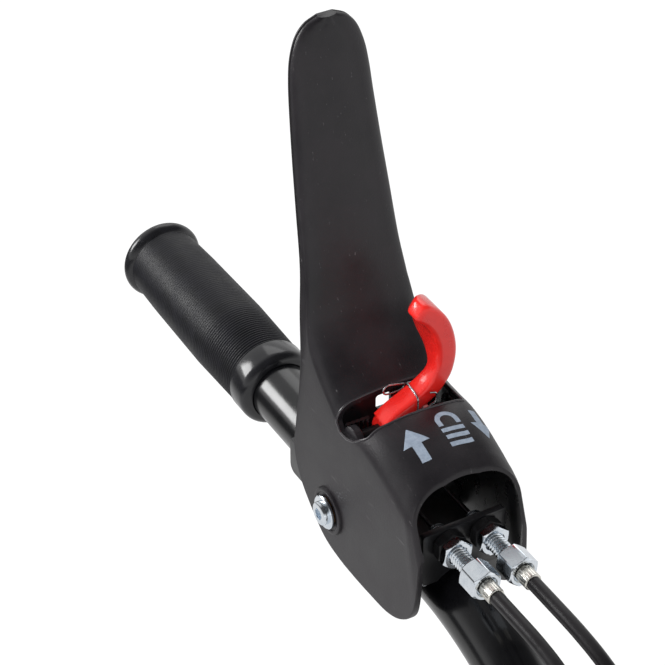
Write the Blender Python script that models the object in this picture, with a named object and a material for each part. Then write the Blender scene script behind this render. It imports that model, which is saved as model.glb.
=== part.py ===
"""Hand control of a garden tiller: the grip end of a handlebar with its squeeze lever.

The handlebar tube runs along +Y through the rubber grip and bends down towards the machine. A saddle
bracket on the tube carries two pivot screws, and the moulded lever straddles it. The lever carries a
red selector that slides sideways on a pin. Squeezed, the lever pushes the cable arm that the selector
has picked, and each arm pulls one inner wire through its cable adjuster.

Sizes are in millimetres in the control frame: X to the right, Y towards the grip, Z up, with the
origin on the tube's centre line below the lever pivot. One empty then puts the lower end of the tube
at the world origin, where the machine holds it.
"""

import math

import bmesh
import bpy
import numpy as np
from mathutils import Vector

MM = 0.001
GAP = 0.3  # clearance between pieces that touch
MERGE = 0.003  # points this close after a cut are one
LEFT, RIGHT = -1, 1
SIDES = {"left": LEFT, "right": RIGHT}

# Handlebar tube
TUBE_R = 14.3
TUBE_WALL = 2.0
TUBE_FAR_Y = 214.0
BEND_START_Y = -50.0
BEND_R = 135.0
BEND_DEG = 40.0
LOWER_LENGTH = 170.0
BOLT_HOLE_R = 4.25
BOLT_HOLE_PLACES = (22.0, 52.0)  # from the lower end

# Grip
GRIP_FRONT_Y = 93.2
GRIP_COLLAR_R = 19.8
GRIP_COLLAR_LENGTH = 19.0
GRIP_WAIST_R = 18.6
GRIP_BELLY_R = 19.6
GRIP_NECK_R = 17.8
GRIP_BEAD_R = 18.9
GRIP_END_WALL = 3.5
GRIP_RIBS = 22
GRIP_RIB_DEPTH = 0.55
GRIP_RECESS = 3.0

# Pivot
PIVOT_Z = 8.0
PIVOT_THREAD_R = 4.0
PIVOT_SHOULDER_R = 5.0
PIVOT_FLANGE_R = 8.5
PIVOT_FLANGE_T = 1.6
PIVOT_HEAD_R = 6.0
PIVOT_HEAD_T = 3.2
PIVOT_SOCKET_FLATS = 5.0
PIVOT_NUT_FLATS = 12.4
PIVOT_NUT_T = 5.0
NUT_TUBE_GAP = 1.0
BUSH_WALL = 1.4
PIVOT_CLEARANCE = 0.2

# Control bracket, whose ears leave room for the pivot nuts beside the tube
SHEET = 3.0
EAR_IN_X = TUBE_R + NUT_TUBE_GAP + PIVOT_NUT_T + GAP
EAR_OUT_X = EAR_IN_X + SHEET
WEB_Z = TUBE_R + GAP
EAR_FRONT_Y, EAR_BACK_Y = -24.0, 41.0
EAR_LOW_Z = 0.5
PLATE_FRONT_Y = -66.0
PLATE_HALF_WIDTH = 20.0
PLATE_LOW_Z, PLATE_TOP_Z = 12.0, 38.5
PLATE_ARCH_R = 18.1
PLATE_ARCH_TOP_Z = 17.0
STRIP_HALF_WIDTH = 12.0

# Lever moulding, which straddles the bracket
EAR_CLEARANCE = 0.8  # from an ear to the lever's cheek
LEVER_WALL = 2.6
LEVER_HALF = EAR_OUT_X + EAR_CLEARANCE + LEVER_WALL
LEVER_BOSS_R = 11.6
LEVER_BOSS_PROUD = 1.4

# Cable adjusters
ADJUSTER_X = 8.85
ADJUSTER_Z = 31.5
THREAD_R = 4.0
NUT_FLATS = 13.0
NUT_CHAMFER = 0.072  # of the width across flats
WELD_NUT_T = 5.0
LOCK_NUT_T = 4.0
THREAD_SHOWN = 8.5
ADJUSTER_HEX_T = 16.5
ADJUSTER_HEX_FLATS = 13.0
THREAD_BEHIND = 6.0
WIRE_R = 0.9
FERRULE_R = 4.0
FERRULE_T = 9.0
FERRULE_SEAT = 5.0  # how deep the ferrule sits in the adjuster
SHEATH_R = 3.2

# Selector's axle and slot in the lever
SELECTOR_Y, SELECTOR_Z = -16.0, 57.0
AXLE_R = 3.0
AXLE_BOSS_LENGTH = 2.6
AXLE_BOSS_WALL = 3.0
AXLE_CLEARANCE = 0.1
SLOT_END_WALL = 5.0  # what the slot leaves of the housing at its right end
SLOT_OUTLINE = ((-12.0, 28.0), (-12.0, 9.0), (-4.5, 3.0), (1.0, 0.6), (6.5, 0.6), (9.8, 4.0),
                (9.8, 28.0))  # (y, z) from the axle

# Cable arms
ARM_PIN_Y, ARM_PIN_Z = -14.0, 23.0
ARM_PIN_R = 2.5
ARM_HEEL_R = 5.0  # round the pin, clear of the web at every swing
ARM_T = 2.4
ARM_SPREAD = 2.7  # from the wire to the inner face of a cheek of the arm
ARM_TOP_Y, ARM_TOP_Z = -4.5, 45.5
NIPPLE_Y = -17.5
NIPPLE_R = 2.3
NIPPLE_CLEARANCE = 0.55

# Selector
SELECTOR_HUB_R = 6.2
SELECTOR_HUB_LENGTH = 24.0
SELECTOR_DOG_T = 4.0
SELECTOR_DOG_LOW_Z = 43.5
SELECTOR_FINGER_Y = -16.0

# Selector spring
SPRING_WIRE_R = 0.5
SPRING_PITCH = 1.55
SPRING_START_X = 5.6
SPRING_SPIGOT_X = 4.8
SPRING_SPIGOT_R = 4.6
SPRING_TURNS = 2.5
SPRING_CURL_POINTS = 10
SPRING_SIDE_GAP = 0.6  # from each leg to the finger's flat side
SPRING_OVER = 1.2  # from the wire to the finger's top, where it passes over
SPRING_FRONT_LEG = (14.5, 9.0, 4.5)  # heights above the axle
SPRING_BACK_LEG = (5.0, 11.0)
SPRING_BEND = 3.0  # how far below its top the wire turns over the finger

# Cables put away in coils beside the lower tube
COIL_MEAN_R = 34.0
COIL_ALONG = 60.0  # from the bend's end, along the straight lower tube
COIL_STEP = 2 * SHEATH_R + 0.6
COIL_LOOPS = 5
COIL_POINTS = 24  # for each loop
CABLE_POINTS = 16
END_WIRE_LENGTH = 34.0
END_NIPPLE_R = 3.0
END_NIPPLE_HALF = 4.5
TIE_WIDTH, TIE_T = 5.0, 1.3
TIE_CORNER_R = 6.0
TIE_HEAD_HALF, TIE_HEAD_T = 3.6, 4.8


# Finishes

def finish(name, colour, roughness, metallic=0.0):
    """A plain material with the real surface's colour."""
    material = bpy.data.materials.new(name)
    material.use_nodes = True
    shader = material.node_tree.nodes["Principled BSDF"]
    shader.inputs["Base Color"].default_value = (*colour, 1.0)
    shader.inputs["Roughness"].default_value = roughness
    shader.inputs["Metallic"].default_value = metallic
    material.diffuse_color = (*colour, 1.0)
    return material


# Building blocks

def vec(x, y, z):
    """A point of the control frame in metres."""
    return Vector((x, y, z)) * MM


def add_object(name, bm, material, sharp_deg=35):
    """Turns a bmesh in millimetres into a named object with outward faces."""
    bmesh.ops.remove_doubles(bm, verts=bm.verts, dist=1e-4)
    bmesh.ops.recalc_face_normals(bm, faces=bm.faces)
    bmesh.ops.scale(bm, vec=(MM, MM, MM), verts=bm.verts)
    mesh = bpy.data.meshes.new(name)
    bm.to_mesh(mesh)
    bm.free()
    mesh.shade_smooth()
    mesh.set_sharp_from_angle(angle=math.radians(sharp_deg))
    obj = bpy.data.objects.new(name, mesh)
    bpy.context.scene.collection.objects.link(obj)
    if material:
        mesh.materials.append(material)
    return obj


def loft(rings, closed=False):
    """A bmesh through rings of equal point counts, capped at both ends unless it is closed."""
    bm = bmesh.new()
    loops = [[bm.verts.new(point) for point in ring] for ring in rings]
    count = len(loops[0])
    last = len(loops) if closed else len(loops) - 1
    for i in range(last):
        low, high = loops[i], loops[(i + 1) % len(loops)]
        for j in range(count):
            k = (j + 1) % count
            bm.faces.new((low[j], low[k], high[k], high[j]))
    if not closed:
        bm.faces.new(loops[0][::-1])
        bm.faces.new(loops[-1])
    return bm


def prism(outline, low, high, axis="X"):
    """An outline extruded along an axis. Its two coordinates are the other axes, in X, Y, Z order."""
    place = {"X": lambda u, v, w: (w, u, v), "Y": lambda u, v, w: (u, w, v), "Z": lambda u, v, w: (u, v, w)}
    return loft([[place[axis](u, v, w) for u, v in outline] for w in (low, high)])


def box(low, high):
    """A block between two corners."""
    outline = [(low[1], low[2]), (high[1], low[2]), (high[1], high[2]), (low[1], high[2])]
    return prism(outline, low[0], high[0])


def turned(profile, centre, axis="Y", sides=24, turn_deg=0.0):
    """A closed solid of revolution. The profile lists (along, radius), both ends off or on the axis."""
    rings = []
    for along, radius in profile:
        ring = []
        for k in range(sides):
            angle = math.radians(turn_deg) + 2 * math.pi * k / sides
            u, v = radius * math.cos(angle), radius * math.sin(angle)
            offset = {"X": (along, u, v), "Y": (u, along, v), "Z": (u, v, along)}[axis]
            ring.append(tuple(c + o for c, o in zip(centre, offset)))
        rings.append(ring)
    return rings


def solid_turned(profile, centre, axis="Y", sides=24, turn_deg=0.0):
    """A turned solid with flat end faces."""
    return loft(turned(profile, centre, axis, sides, turn_deg))


def hollow_turned(profile, centre, axis="Y", sides=24, turn_deg=0.0):
    """A turned tube or ring: the closed profile lists the outer side out and the bore back."""
    return loft(turned(profile, centre, axis, sides, turn_deg), closed=True)


def cylinder(centre, low, high, radius, axis="X", sides=24, turn_deg=0.0):
    """A round bar along an axis, from low to high measured from the centre."""
    return solid_turned([(low, radius), (high, radius)], centre, axis, sides, turn_deg)


def hex_radius(flats):
    """The corner radius of a hexagon across flats."""
    return flats / math.sqrt(3)


def arc(centre, radius, start_deg, end_deg, steps):
    """Points on an arc in a plane."""
    angles = [math.radians(start_deg + (end_deg - start_deg) * k / steps) for k in range(steps + 1)]
    return [(centre[0] + radius * math.cos(a), centre[1] + radius * math.sin(a)) for a in angles]


def rounded(points, radii, steps=5):
    """A polygon with its corners rounded."""
    out = []
    count = len(points)
    for i, radius in enumerate(radii):
        here = Vector(points[i])
        before, after = Vector(points[i - 1]) - here, Vector(points[(i + 1) % count]) - here
        if radius <= 0:
            out.append(tuple(here))
            continue
        a, b = before.normalized(), after.normalized()
        half = a.angle(b) / 2
        reach = min(radius / math.tan(half), 0.48 * before.length, 0.48 * after.length)
        radius = reach * math.tan(half)
        centre = here + (a + b).normalized() * (reach / math.cos(half))
        start, end = here + a * reach - centre, here + b * reach - centre
        first = math.atan2(start.y, start.x)
        turn = (math.atan2(end.y, end.x) - first + math.pi) % (2 * math.pi) - math.pi
        for k in range(steps + 1):
            angle = first + turn * k / steps
            out.append((centre.x + radius * math.cos(angle), centre.y + radius * math.sin(angle)))
    return out


def curve_at(points, place):
    """A point of the smooth curve through the given points. 2.5 is half way from the third to the fourth."""
    points = np.array(points, float)
    ends = np.vstack([2 * points[0] - points[1], points, 2 * points[-1] - points[-2]])
    first = min(int(place), len(points) - 2)
    t = place - first
    a, b, c, d = ends[first : first + 4]
    return 0.5 * (2 * b + (c - a) * t + (2 * a - 5 * b + 4 * c - d) * t**2 + (3 * b - a - 3 * c + d) * t**3)


def spline(points, count):
    """Points on a smooth curve through the given points, evenly spread along it."""
    dense = np.array([curve_at(points, place) for place in np.linspace(0, len(points) - 1, 24 * len(points))])
    reach = np.concatenate([[0], np.cumsum(np.linalg.norm(np.diff(dense, axis=0), axis=1))])
    at = np.linspace(0, reach[-1], count)
    return np.stack([np.interp(at, reach, dense[:, k]) for k in range(dense.shape[1])], axis=1)


def swept(points, section, up=(1, 0, 0)):
    """Rings of a section carried along a route. The section gives (side, up) offsets for each point."""
    rings = []
    for i, point in enumerate(points):
        after, before = points[min(i + 1, len(points) - 1)], points[max(i - 1, 0)]
        along = (Vector(after) - Vector(before)).normalized()
        side = along.cross(Vector(up)).normalized()
        top = side.cross(along)
        offsets = section(i / (len(points) - 1)) if callable(section) else section
        rings.append([Vector(point) + side * u + top * v for u, v in offsets])
    return rings


def circle(radius, sides=10):
    """The points of a circle round the origin."""
    return [(radius * math.cos(2 * math.pi * k / sides), radius * math.sin(2 * math.pi * k / sides))
            for k in range(sides)]


def boolean(obj, bm, operation="DIFFERENCE"):
    """Cuts a solid from an object, or joins it on."""
    return combine(obj, add_object(obj.name + "_helper", bm, None), operation)


def join(obj, other):
    """Joins another object onto this one."""
    return combine(obj, other, "UNION")


def combine(obj, helper, operation):
    """Applies one Boolean between two objects, and deletes the second."""
    modifier = obj.modifiers.new("shape", "BOOLEAN")
    modifier.operation = operation
    modifier.solver = "EXACT"
    modifier.object = helper
    graph = bpy.context.evaluated_depsgraph_get()
    mesh = bpy.data.meshes.new_from_object(obj.evaluated_get(graph))
    obj.modifiers.clear()
    clean = bmesh.new()
    clean.from_mesh(mesh)
    bmesh.ops.remove_doubles(clean, verts=clean.verts, dist=MERGE * MM)
    bmesh.ops.dissolve_degenerate(clean, edges=clean.edges, dist=MERGE * MM)
    clean.to_mesh(mesh)
    clean.free()
    old, obj.data = obj.data, mesh
    mesh.name = obj.name
    bpy.data.meshes.remove(old)
    bpy.data.objects.remove(helper)
    mesh.shade_smooth()
    mesh.set_sharp_from_angle(angle=math.radians(35))
    return obj


# Frame of the tube

def tube_route():
    """The tube's centre line in the (Y, Z) plane, from the grip end to its lower end."""
    points = [(TUBE_FAR_Y, 0.0), (BEND_START_Y, 0.0)]
    points += arc((BEND_START_Y, -BEND_R), BEND_R, 90, 90 + BEND_DEG, 10)[1:]
    along = lower_direction()
    end = points[-1]
    points.append((end[0] + along[0] * LOWER_LENGTH, end[1] + along[1] * LOWER_LENGTH))
    return points


def lower_direction():
    """The (Y, Z) direction of the straight lower tube, away from the grip."""
    angle = math.radians(BEND_DEG)
    return (-math.cos(angle), -math.sin(angle))


def lower_point(along, x=0.0, out=0.0):
    """A point on the straight lower tube, along from the bend's end and out square to it."""
    start = tube_route()[-2]
    direction = lower_direction()
    normal = (direction[1], -direction[0])
    return (x, start[0] + along * direction[0] + out * normal[0],
            start[1] + along * direction[1] + out * normal[1])


TUBE_END = lower_point(LOWER_LENGTH)


# Handlebar

def build_tube(material):
    """The bent steel tube with two cross holes for the bolts that hold it."""
    route = [(0.0, y, z) for y, z in tube_route()]

    def rings(radius, extend):
        points = list(route)
        direction = lower_direction()
        if extend:
            points[0] = (0.0, TUBE_FAR_Y + extend, 0.0)
            points[-1] = (0.0, points[-1][1] + extend * direction[0], points[-1][2] + extend * direction[1])
        return swept(points, circle(radius, 24))

    tube = add_object("handlebar_tube", loft(rings(TUBE_R, 0)), material)
    boolean(tube, loft(rings(TUBE_R - TUBE_WALL, 5)))
    for place in BOLT_HOLE_PLACES:
        hole = cylinder(lower_point(LOWER_LENGTH - place), -2 * TUBE_R, 2 * TUBE_R, BOLT_HOLE_R, sides=16)
        boolean(tube, hole)
    return tube


def grip_radius(share):
    """The barrel's radius from the collar, at 0, to the bead, at 1."""
    return float(np.interp(share, (0, 0.35, 0.8, 1), (GRIP_WAIST_R, GRIP_BELLY_R, GRIP_WAIST_R, GRIP_NECK_R)))


def build_grip(material):
    """The rubber grip: a smooth collar, a ribbed barrel, and a closed bead at the end."""
    bore = TUBE_R + GAP
    end_y = TUBE_FAR_Y + GRIP_END_WALL + GAP
    barrel_low = GRIP_FRONT_Y + GRIP_COLLAR_LENGTH
    barrel_high = end_y - 12.0
    profile = [(GRIP_FRONT_Y + GRIP_RECESS, bore), (GRIP_FRONT_Y + GRIP_RECESS, GRIP_COLLAR_R - 2.4),
               (GRIP_FRONT_Y, GRIP_COLLAR_R - 2.0), (GRIP_FRONT_Y, GRIP_COLLAR_R - 0.6),
               (GRIP_FRONT_Y + 0.8, GRIP_COLLAR_R), (barrel_low - 3.0, GRIP_COLLAR_R - 0.2),
               (barrel_low - 0.6, GRIP_WAIST_R - 0.2)]
    pitch = (barrel_high - barrel_low) / GRIP_RIBS
    for rib in range(GRIP_RIBS):
        for part, depth in ((0.15, GRIP_RIB_DEPTH), (0.65, 0.0)):
            along = barrel_low + (rib + part) * pitch
            share = (along - barrel_low) / (barrel_high - barrel_low)
            profile.append((along, grip_radius(share) - depth))
    profile += [(barrel_high, GRIP_NECK_R - 0.4)]
    profile += [(end_y - 5.2 - 4.6 * math.cos(a), GRIP_BEAD_R - 4.6 + 4.6 * math.sin(a))
                for a in np.radians((25, 60, 90, 120, 155))]
    profile += [(end_y - 0.4, GRIP_BEAD_R - 6.5), (end_y, 5.0)]
    profile += [(end_y, 0.8), (TUBE_FAR_Y + GAP, 0.8), (TUBE_FAR_Y + GAP, bore)]
    return add_object("grip", hollow_turned(profile, (0, 0, 0), "Y", 24), material, 50)


# Control bracket

def build_bracket(material):
    """The saddle of folded sheet on the tube, with its ears, cable plate and arm lugs."""
    web_top = WEB_Z + SHEET
    side = rounded([(EAR_FRONT_Y, EAR_LOW_Z + 6), (EAR_FRONT_Y + 14, EAR_LOW_Z), (EAR_BACK_Y, EAR_LOW_Z),
                    (EAR_BACK_Y, web_top), (EAR_FRONT_Y, web_top)], (2, 6, 4, 0, 0))
    bracket = add_object("control_bracket", prism(side, -EAR_OUT_X, EAR_OUT_X), material)
    boolean(bracket, box((-EAR_IN_X, EAR_FRONT_Y - 5, EAR_LOW_Z - 5), (EAR_IN_X, EAR_BACK_Y + 5, WEB_Z)))
    corners = rounded([(-PLATE_HALF_WIDTH, PLATE_LOW_Z), (PLATE_HALF_WIDTH, PLATE_LOW_Z),
                       (PLATE_HALF_WIDTH, PLATE_TOP_Z), (-PLATE_HALF_WIDTH, PLATE_TOP_Z)], (6, 6, 1.5, 1.5))
    plate = add_object("plate", prism(corners, PLATE_FRONT_Y, PLATE_FRONT_Y + SHEET, "Y"), None)
    boolean(plate, cylinder((0, 0, PLATE_ARCH_TOP_Z - PLATE_ARCH_R), PLATE_FRONT_Y - 5,
                            PLATE_FRONT_Y + SHEET + 5, PLATE_ARCH_R, "Y", 32))
    join(bracket, plate)
    boolean(bracket, box((-STRIP_HALF_WIDTH, PLATE_FRONT_Y + 1.0, WEB_Z),
                         (STRIP_HALF_WIDTH, EAR_FRONT_Y + 1.0, web_top - 0.1)), "UNION")
    for sign in SIDES.values():
        lug_x = sign * (ADJUSTER_X + ARM_SPREAD + ARM_T + 0.6)
        lug = rounded([(ARM_PIN_Y - 6, web_top - 1), (ARM_PIN_Y + 6, web_top - 1),
                       (ARM_PIN_Y + 4.5, ARM_PIN_Z + 4.5), (ARM_PIN_Y - 4.5, ARM_PIN_Z + 4.5)], (0, 0, 4, 4))
        low, high = sorted((lug_x, lug_x + sign * SHEET))
        boolean(bracket, prism(lug, low, high), "UNION")
        boolean(bracket, cylinder((0, ARM_PIN_Y, ARM_PIN_Z), low - 2, high + 2, ARM_PIN_R + 0.05, sides=16))
        hole = (sign * ADJUSTER_X, PLATE_FRONT_Y, ADJUSTER_Z)
        boolean(bracket, cylinder(hole, -5, SHEET + 5, THREAD_R + GAP, "Y", 20))
        ear = (0, 0, PIVOT_Z)
        low, high = sorted((sign * (EAR_IN_X - 2), sign * (EAR_OUT_X + 2)))
        boolean(bracket, cylinder(ear, low, high, PIVOT_THREAD_R + GAP, sides=20))
    return bracket


def ring_nut(name, centre, thickness, flats, bore, axis, turn_deg, material):
    """A hexagon nut with chamfered corners, from the centre along the axis."""
    corner = hex_radius(flats)
    face = corner - NUT_CHAMFER * flats
    outline = [(0, face), (0.6, corner), (thickness - 0.6, corner), (thickness, face)]
    nut = add_object(name, solid_turned(outline, centre, axis, 6, turn_deg), material)
    return boolean(nut, cylinder(centre, -3, thickness + 3, bore, axis, 18))


def build_cable_side(side, sign, steel, zinc):
    """One cable's nuts, adjuster and crimped ferrule, from the plate forwards."""
    x = sign * ADJUSTER_X
    turn = 20.0
    weld_front = PLATE_FRONT_Y - GAP - WELD_NUT_T
    lock_front = weld_front - GAP - LOCK_NUT_T
    bore = THREAD_R + GAP / 2
    weld, lock = (x, weld_front, ADJUSTER_Z), (x, lock_front, ADJUSTER_Z)
    ring_nut(f"weld_nut_{side}", weld, WELD_NUT_T, NUT_FLATS, bore, "Y", turn + 8, steel)
    ring_nut(f"lock_nut_{side}", lock, LOCK_NUT_T, NUT_FLATS, bore, "Y", turn, zinc)

    hex_back = lock_front - THREAD_SHOWN
    hex_front = hex_back - ADJUSTER_HEX_T
    corner = hex_radius(ADJUSTER_HEX_FLATS)
    centre = (x, 0, ADJUSTER_Z)
    thread_back = PLATE_FRONT_Y + SHEET + THREAD_BEHIND
    thread = cylinder(centre, hex_back - 1, thread_back, THREAD_R, "Y", 18)
    adjuster = add_object(f"cable_adjuster_{side}", thread, zinc)
    hexagon = [(hex_front, corner - 1.5), (hex_front + 1.2, corner),
               (hex_back - 1.2, corner), (hex_back, corner - 1.5)]
    boolean(adjuster, solid_turned(hexagon, centre, "Y", 6, turn), "UNION")
    seat = hex_front + FERRULE_SEAT
    boolean(adjuster, cylinder(centre, hex_front - 3, seat, FERRULE_R + GAP, "Y", 18))
    boolean(adjuster, cylinder(centre, seat - 3, thread_back + 3, WIRE_R + GAP, "Y", 10))

    front = cable_start_y() + GAP
    barrel = fluted(centre, front, seat - GAP, FERRULE_R, 0.35, 12)
    ferrule = add_object(f"cable_ferrule_{side}", barrel, zinc)
    boolean(ferrule, cylinder(centre, front - 3, seat + 3, WIRE_R + GAP, "Y", 10))


def fluted(centre, low, high, radius, depth, flutes):
    """A crimped barrel along Y with flutes pressed in all round it."""
    rings = []
    for along in (low, high):
        ring = []
        for k in range(2 * flutes):
            angle = math.pi * k / flutes
            r = radius - (depth if k % 2 else 0)
            ring.append((centre[0] + r * math.cos(angle), along, centre[2] + r * math.sin(angle)))
        rings.append(ring)
    return loft(rings)


# Lever

# Each station pairs a point of the outer top line with one of the rim, as (y, z, share of LEVER_HALF).
LEVER_STATIONS = (
    ((-66.5, 58.5, 0.9704), (-73.5, 33.0, 0.9704)),
    ((-62.5, 61.6, 1.0), (-72.6, 13.0, 1.0)),
    ((-55.5, 65.4, 1.0), (-68.5, 0.5, 1.0)),
    ((-47.0, 68.8, 1.0), (-60.0, -8.0, 1.0)),
    ((-38.0, 70.6, 1.0), (-49.0, -12.6, 1.0)),
    ((-28.0, 71.0, 1.0), (-35.0, -13.8, 1.0)),
    ((-17.0, 70.0, 1.0), (-20.0, -14.2, 1.0)),
    ((-6.5, 70.4, 1.0), (-8.0, -13.6, 1.0)),
    ((-1.0, 74.0, 1.0), (4.0, -11.0, 1.0)),
    ((4.5, 78.8, 1.0), (15.0, -3.5, 1.0)),
    ((9.0, 83.2, 0.9926), (25.5, 7.0, 1.0)),
    ((12.8, 87.2, 0.9778), (30.6, 21.0, 1.0)),
    ((16.2, 91.4, 0.9556), (28.8, 37.0, 1.0)),
    ((19.2, 96.0, 0.9259), (26.2, 56.0, 0.9926)),
    ((21.4, 101.5, 0.8963), (25.2, 75.0, 0.9704)),
    ((23.4, 110.0, 0.8444), (28.0, 95.0, 0.9185)),
    ((26.4, 124.0, 0.7704), (33.0, 115.0, 0.8074)),
    ((31.1, 145.0, 0.7259), (40.0, 139.0, 0.7333)),
    ((35.7, 165.0, 0.6741), (45.5, 160.0, 0.6815)),
    ((40.6, 185.0, 0.6259), (50.2, 181.0, 0.6296)),
    ((43.5, 197.0, 0.6000), (52.4, 194.0, 0.6000)),
    ((45.6, 206.0, 0.5519), (53.8, 204.0, 0.5519)),
    ((47.3, 213.5, 0.4444), (54.6, 212.5, 0.4444)),
    ((48.4, 218.5, 0.2963), (54.6, 218.0, 0.2963)),
    ((49.2, 221.0, 0.1333), (54.0, 221.0, 0.1333)),
)
LEVER_SECTIONS = 41
LEVER_FILLET = 8.0
HOLLOW_END = 22.0  # the station before which the channel is open underneath


def lever_side(top, rim, wall):
    """Half of a U section, set in by a wall: (half width, (y, z)) from the rim up to the crown."""
    top_point, rim_point = Vector(top[:2]), Vector(rim[:2])
    down = (rim_point - top_point).normalized()
    depth = (rim_point - top_point).length
    half_top, half_rim = top[2] - wall, rim[2] - wall
    fillet = max(min(LEVER_FILLET, 0.8 * depth, 0.8 * top[2]) - wall, 0.6)
    start = top_point + down * wall
    crown = 0.05 * half_top
    side = []
    for share in (1.0, 0.66, 0.33):
        reach = fillet + share * (depth - fillet - wall)
        side.append((half_top + (half_rim - half_top) * share, start + down * reach))
    for angle in np.radians((0, 22.5, 45, 67.5, 90)):
        reach = fillet * (1 - math.sin(angle)) + crown
        side.append((half_top - fillet * (1 - math.cos(angle)), start + down * reach))
    side.append(((half_top - fillet) * 0.5, start + down * 0.25 * crown))
    side.append((0.0, start))
    return side


def both_halves(side):
    """A half section and its mirror image, from the left rim over the top to the right one."""
    return [(-x, *point) for x, point in side] + [(x, *point) for x, point in reversed(side[:-1])]


def lever_section(top, rim, hollow):
    """One closed section: the outer U and the inner U back. Where hollow is 0 the underside is flat."""
    outer = both_halves(lever_side(top, rim, 0.0))
    inner = both_halves(lever_side(top, rim, LEVER_WALL))[::-1]
    reach = inner[0][0]
    flat = [(reach * (1 - 2 * k / (len(inner) - 1)), rim[0], rim[1]) for k in range(len(inner))]
    return outer + [tuple(np.array(f) + hollow * (np.array(i) - np.array(f))) for i, f in zip(inner, flat)]


def lever_rings():
    """The lever's sections, evenly spread over its stations."""
    rings = []
    for place in np.linspace(0, len(LEVER_STATIONS) - 1, LEVER_SECTIONS):
        top, rim = (curve_at([station[k] for station in LEVER_STATIONS], place) for k in (0, 1))
        top[2], rim[2] = top[2] * LEVER_HALF, rim[2] * LEVER_HALF
        rings.append(lever_section(tuple(top), tuple(rim), float(np.clip(HOLLOW_END - place, 0, 1))))
    return rings


def build_lever(material):
    """The moulded lever: housing, cheeks and blade as one channel, with slot, bosses and bores."""
    lever = add_object("control_lever", loft(lever_rings()), material)
    slot = [(SELECTOR_Y + y, SELECTOR_Z + z) for y, z in SLOT_OUTLINE]
    boolean(lever, prism(slot, -LEVER_HALF - 10, LEVER_HALF - SLOT_END_WALL))
    inner = LEVER_HALF - LEVER_WALL
    for sign in SIDES.values():
        low, high = sorted((sign * (inner + 1), sign * (LEVER_HALF + LEVER_BOSS_PROUD)))
        boolean(lever, cylinder((0, 0, PIVOT_Z), low, high, LEVER_BOSS_R, sides=32), "UNION")
        axle = (0, SELECTOR_Y, SELECTOR_Z)
        low, high = sorted((sign * (inner - AXLE_BOSS_LENGTH), sign * (inner + 1)))
        boolean(lever, cylinder(axle, low, high, AXLE_R + AXLE_BOSS_WALL, sides=20), "UNION")
        bush_r = PIVOT_SHOULDER_R + BUSH_WALL + 2 * PIVOT_CLEARANCE
        low, high = sorted((sign * (inner - 3), sign * (LEVER_HALF + 5)))
        boolean(lever, cylinder((0, 0, PIVOT_Z), low, high, bush_r, sides=24))
        low, high = sorted((sign * (inner - 8), sign * (inner - 0.2)))
        boolean(lever, cylinder(axle, low, high, AXLE_R + AXLE_CLEARANCE, sides=16))
    return lever


def build_pivots(side, sign, zinc, steel, brass):
    """One pivot: a shouldered flange screw, its bush in the lever's boss, and the nut inside the ear."""
    face = LEVER_HALF + LEVER_BOSS_PROUD
    inner = LEVER_HALF - LEVER_WALL
    centre = (0, 0, PIVOT_Z)
    bore = PIVOT_SHOULDER_R + PIVOT_CLEARANCE
    bush = [(inner + 0.1, bore), (inner + 0.1, bore + BUSH_WALL), (face, bore + BUSH_WALL), (face, bore)]
    add_object(f"pivot_bush_{side}", hollow_turned([(sign * a, r) for a, r in bush], centre, "X", 24), brass)
    flange = face + GAP
    screw = [(EAR_IN_X - PIVOT_NUT_T - 0.8, PIVOT_THREAD_R), (EAR_OUT_X + GAP, PIVOT_THREAD_R),
             (EAR_OUT_X + GAP, PIVOT_SHOULDER_R), (flange, PIVOT_SHOULDER_R), (flange, PIVOT_FLANGE_R),
             (flange + PIVOT_FLANGE_T * 0.6, PIVOT_FLANGE_R), (flange + PIVOT_FLANGE_T, PIVOT_HEAD_R),
             (flange + PIVOT_HEAD_T, PIVOT_HEAD_R - 0.4), (flange + PIVOT_HEAD_T + 0.5, PIVOT_HEAD_R - 1.2)]
    shank = solid_turned([(sign * a, r) for a, r in screw], centre, "X", 24)
    bolt = add_object(f"pivot_screw_{side}", shank, zinc)
    low, high = sorted((sign * (flange + PIVOT_HEAD_T - 2.0), sign * (flange + 8)))
    boolean(bolt, cylinder(centre, low, high, hex_radius(PIVOT_SOCKET_FLATS), "X", 6))
    nut_start = min(sign * (EAR_IN_X - GAP), sign * (EAR_IN_X - GAP - PIVOT_NUT_T))
    nut = (nut_start, 0, PIVOT_Z)
    ring_nut(f"pivot_nut_{side}", nut, PIVOT_NUT_T, PIVOT_NUT_FLATS, PIVOT_THREAD_R + GAP / 2, "X", 0, steel)


# Cable arms

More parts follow.
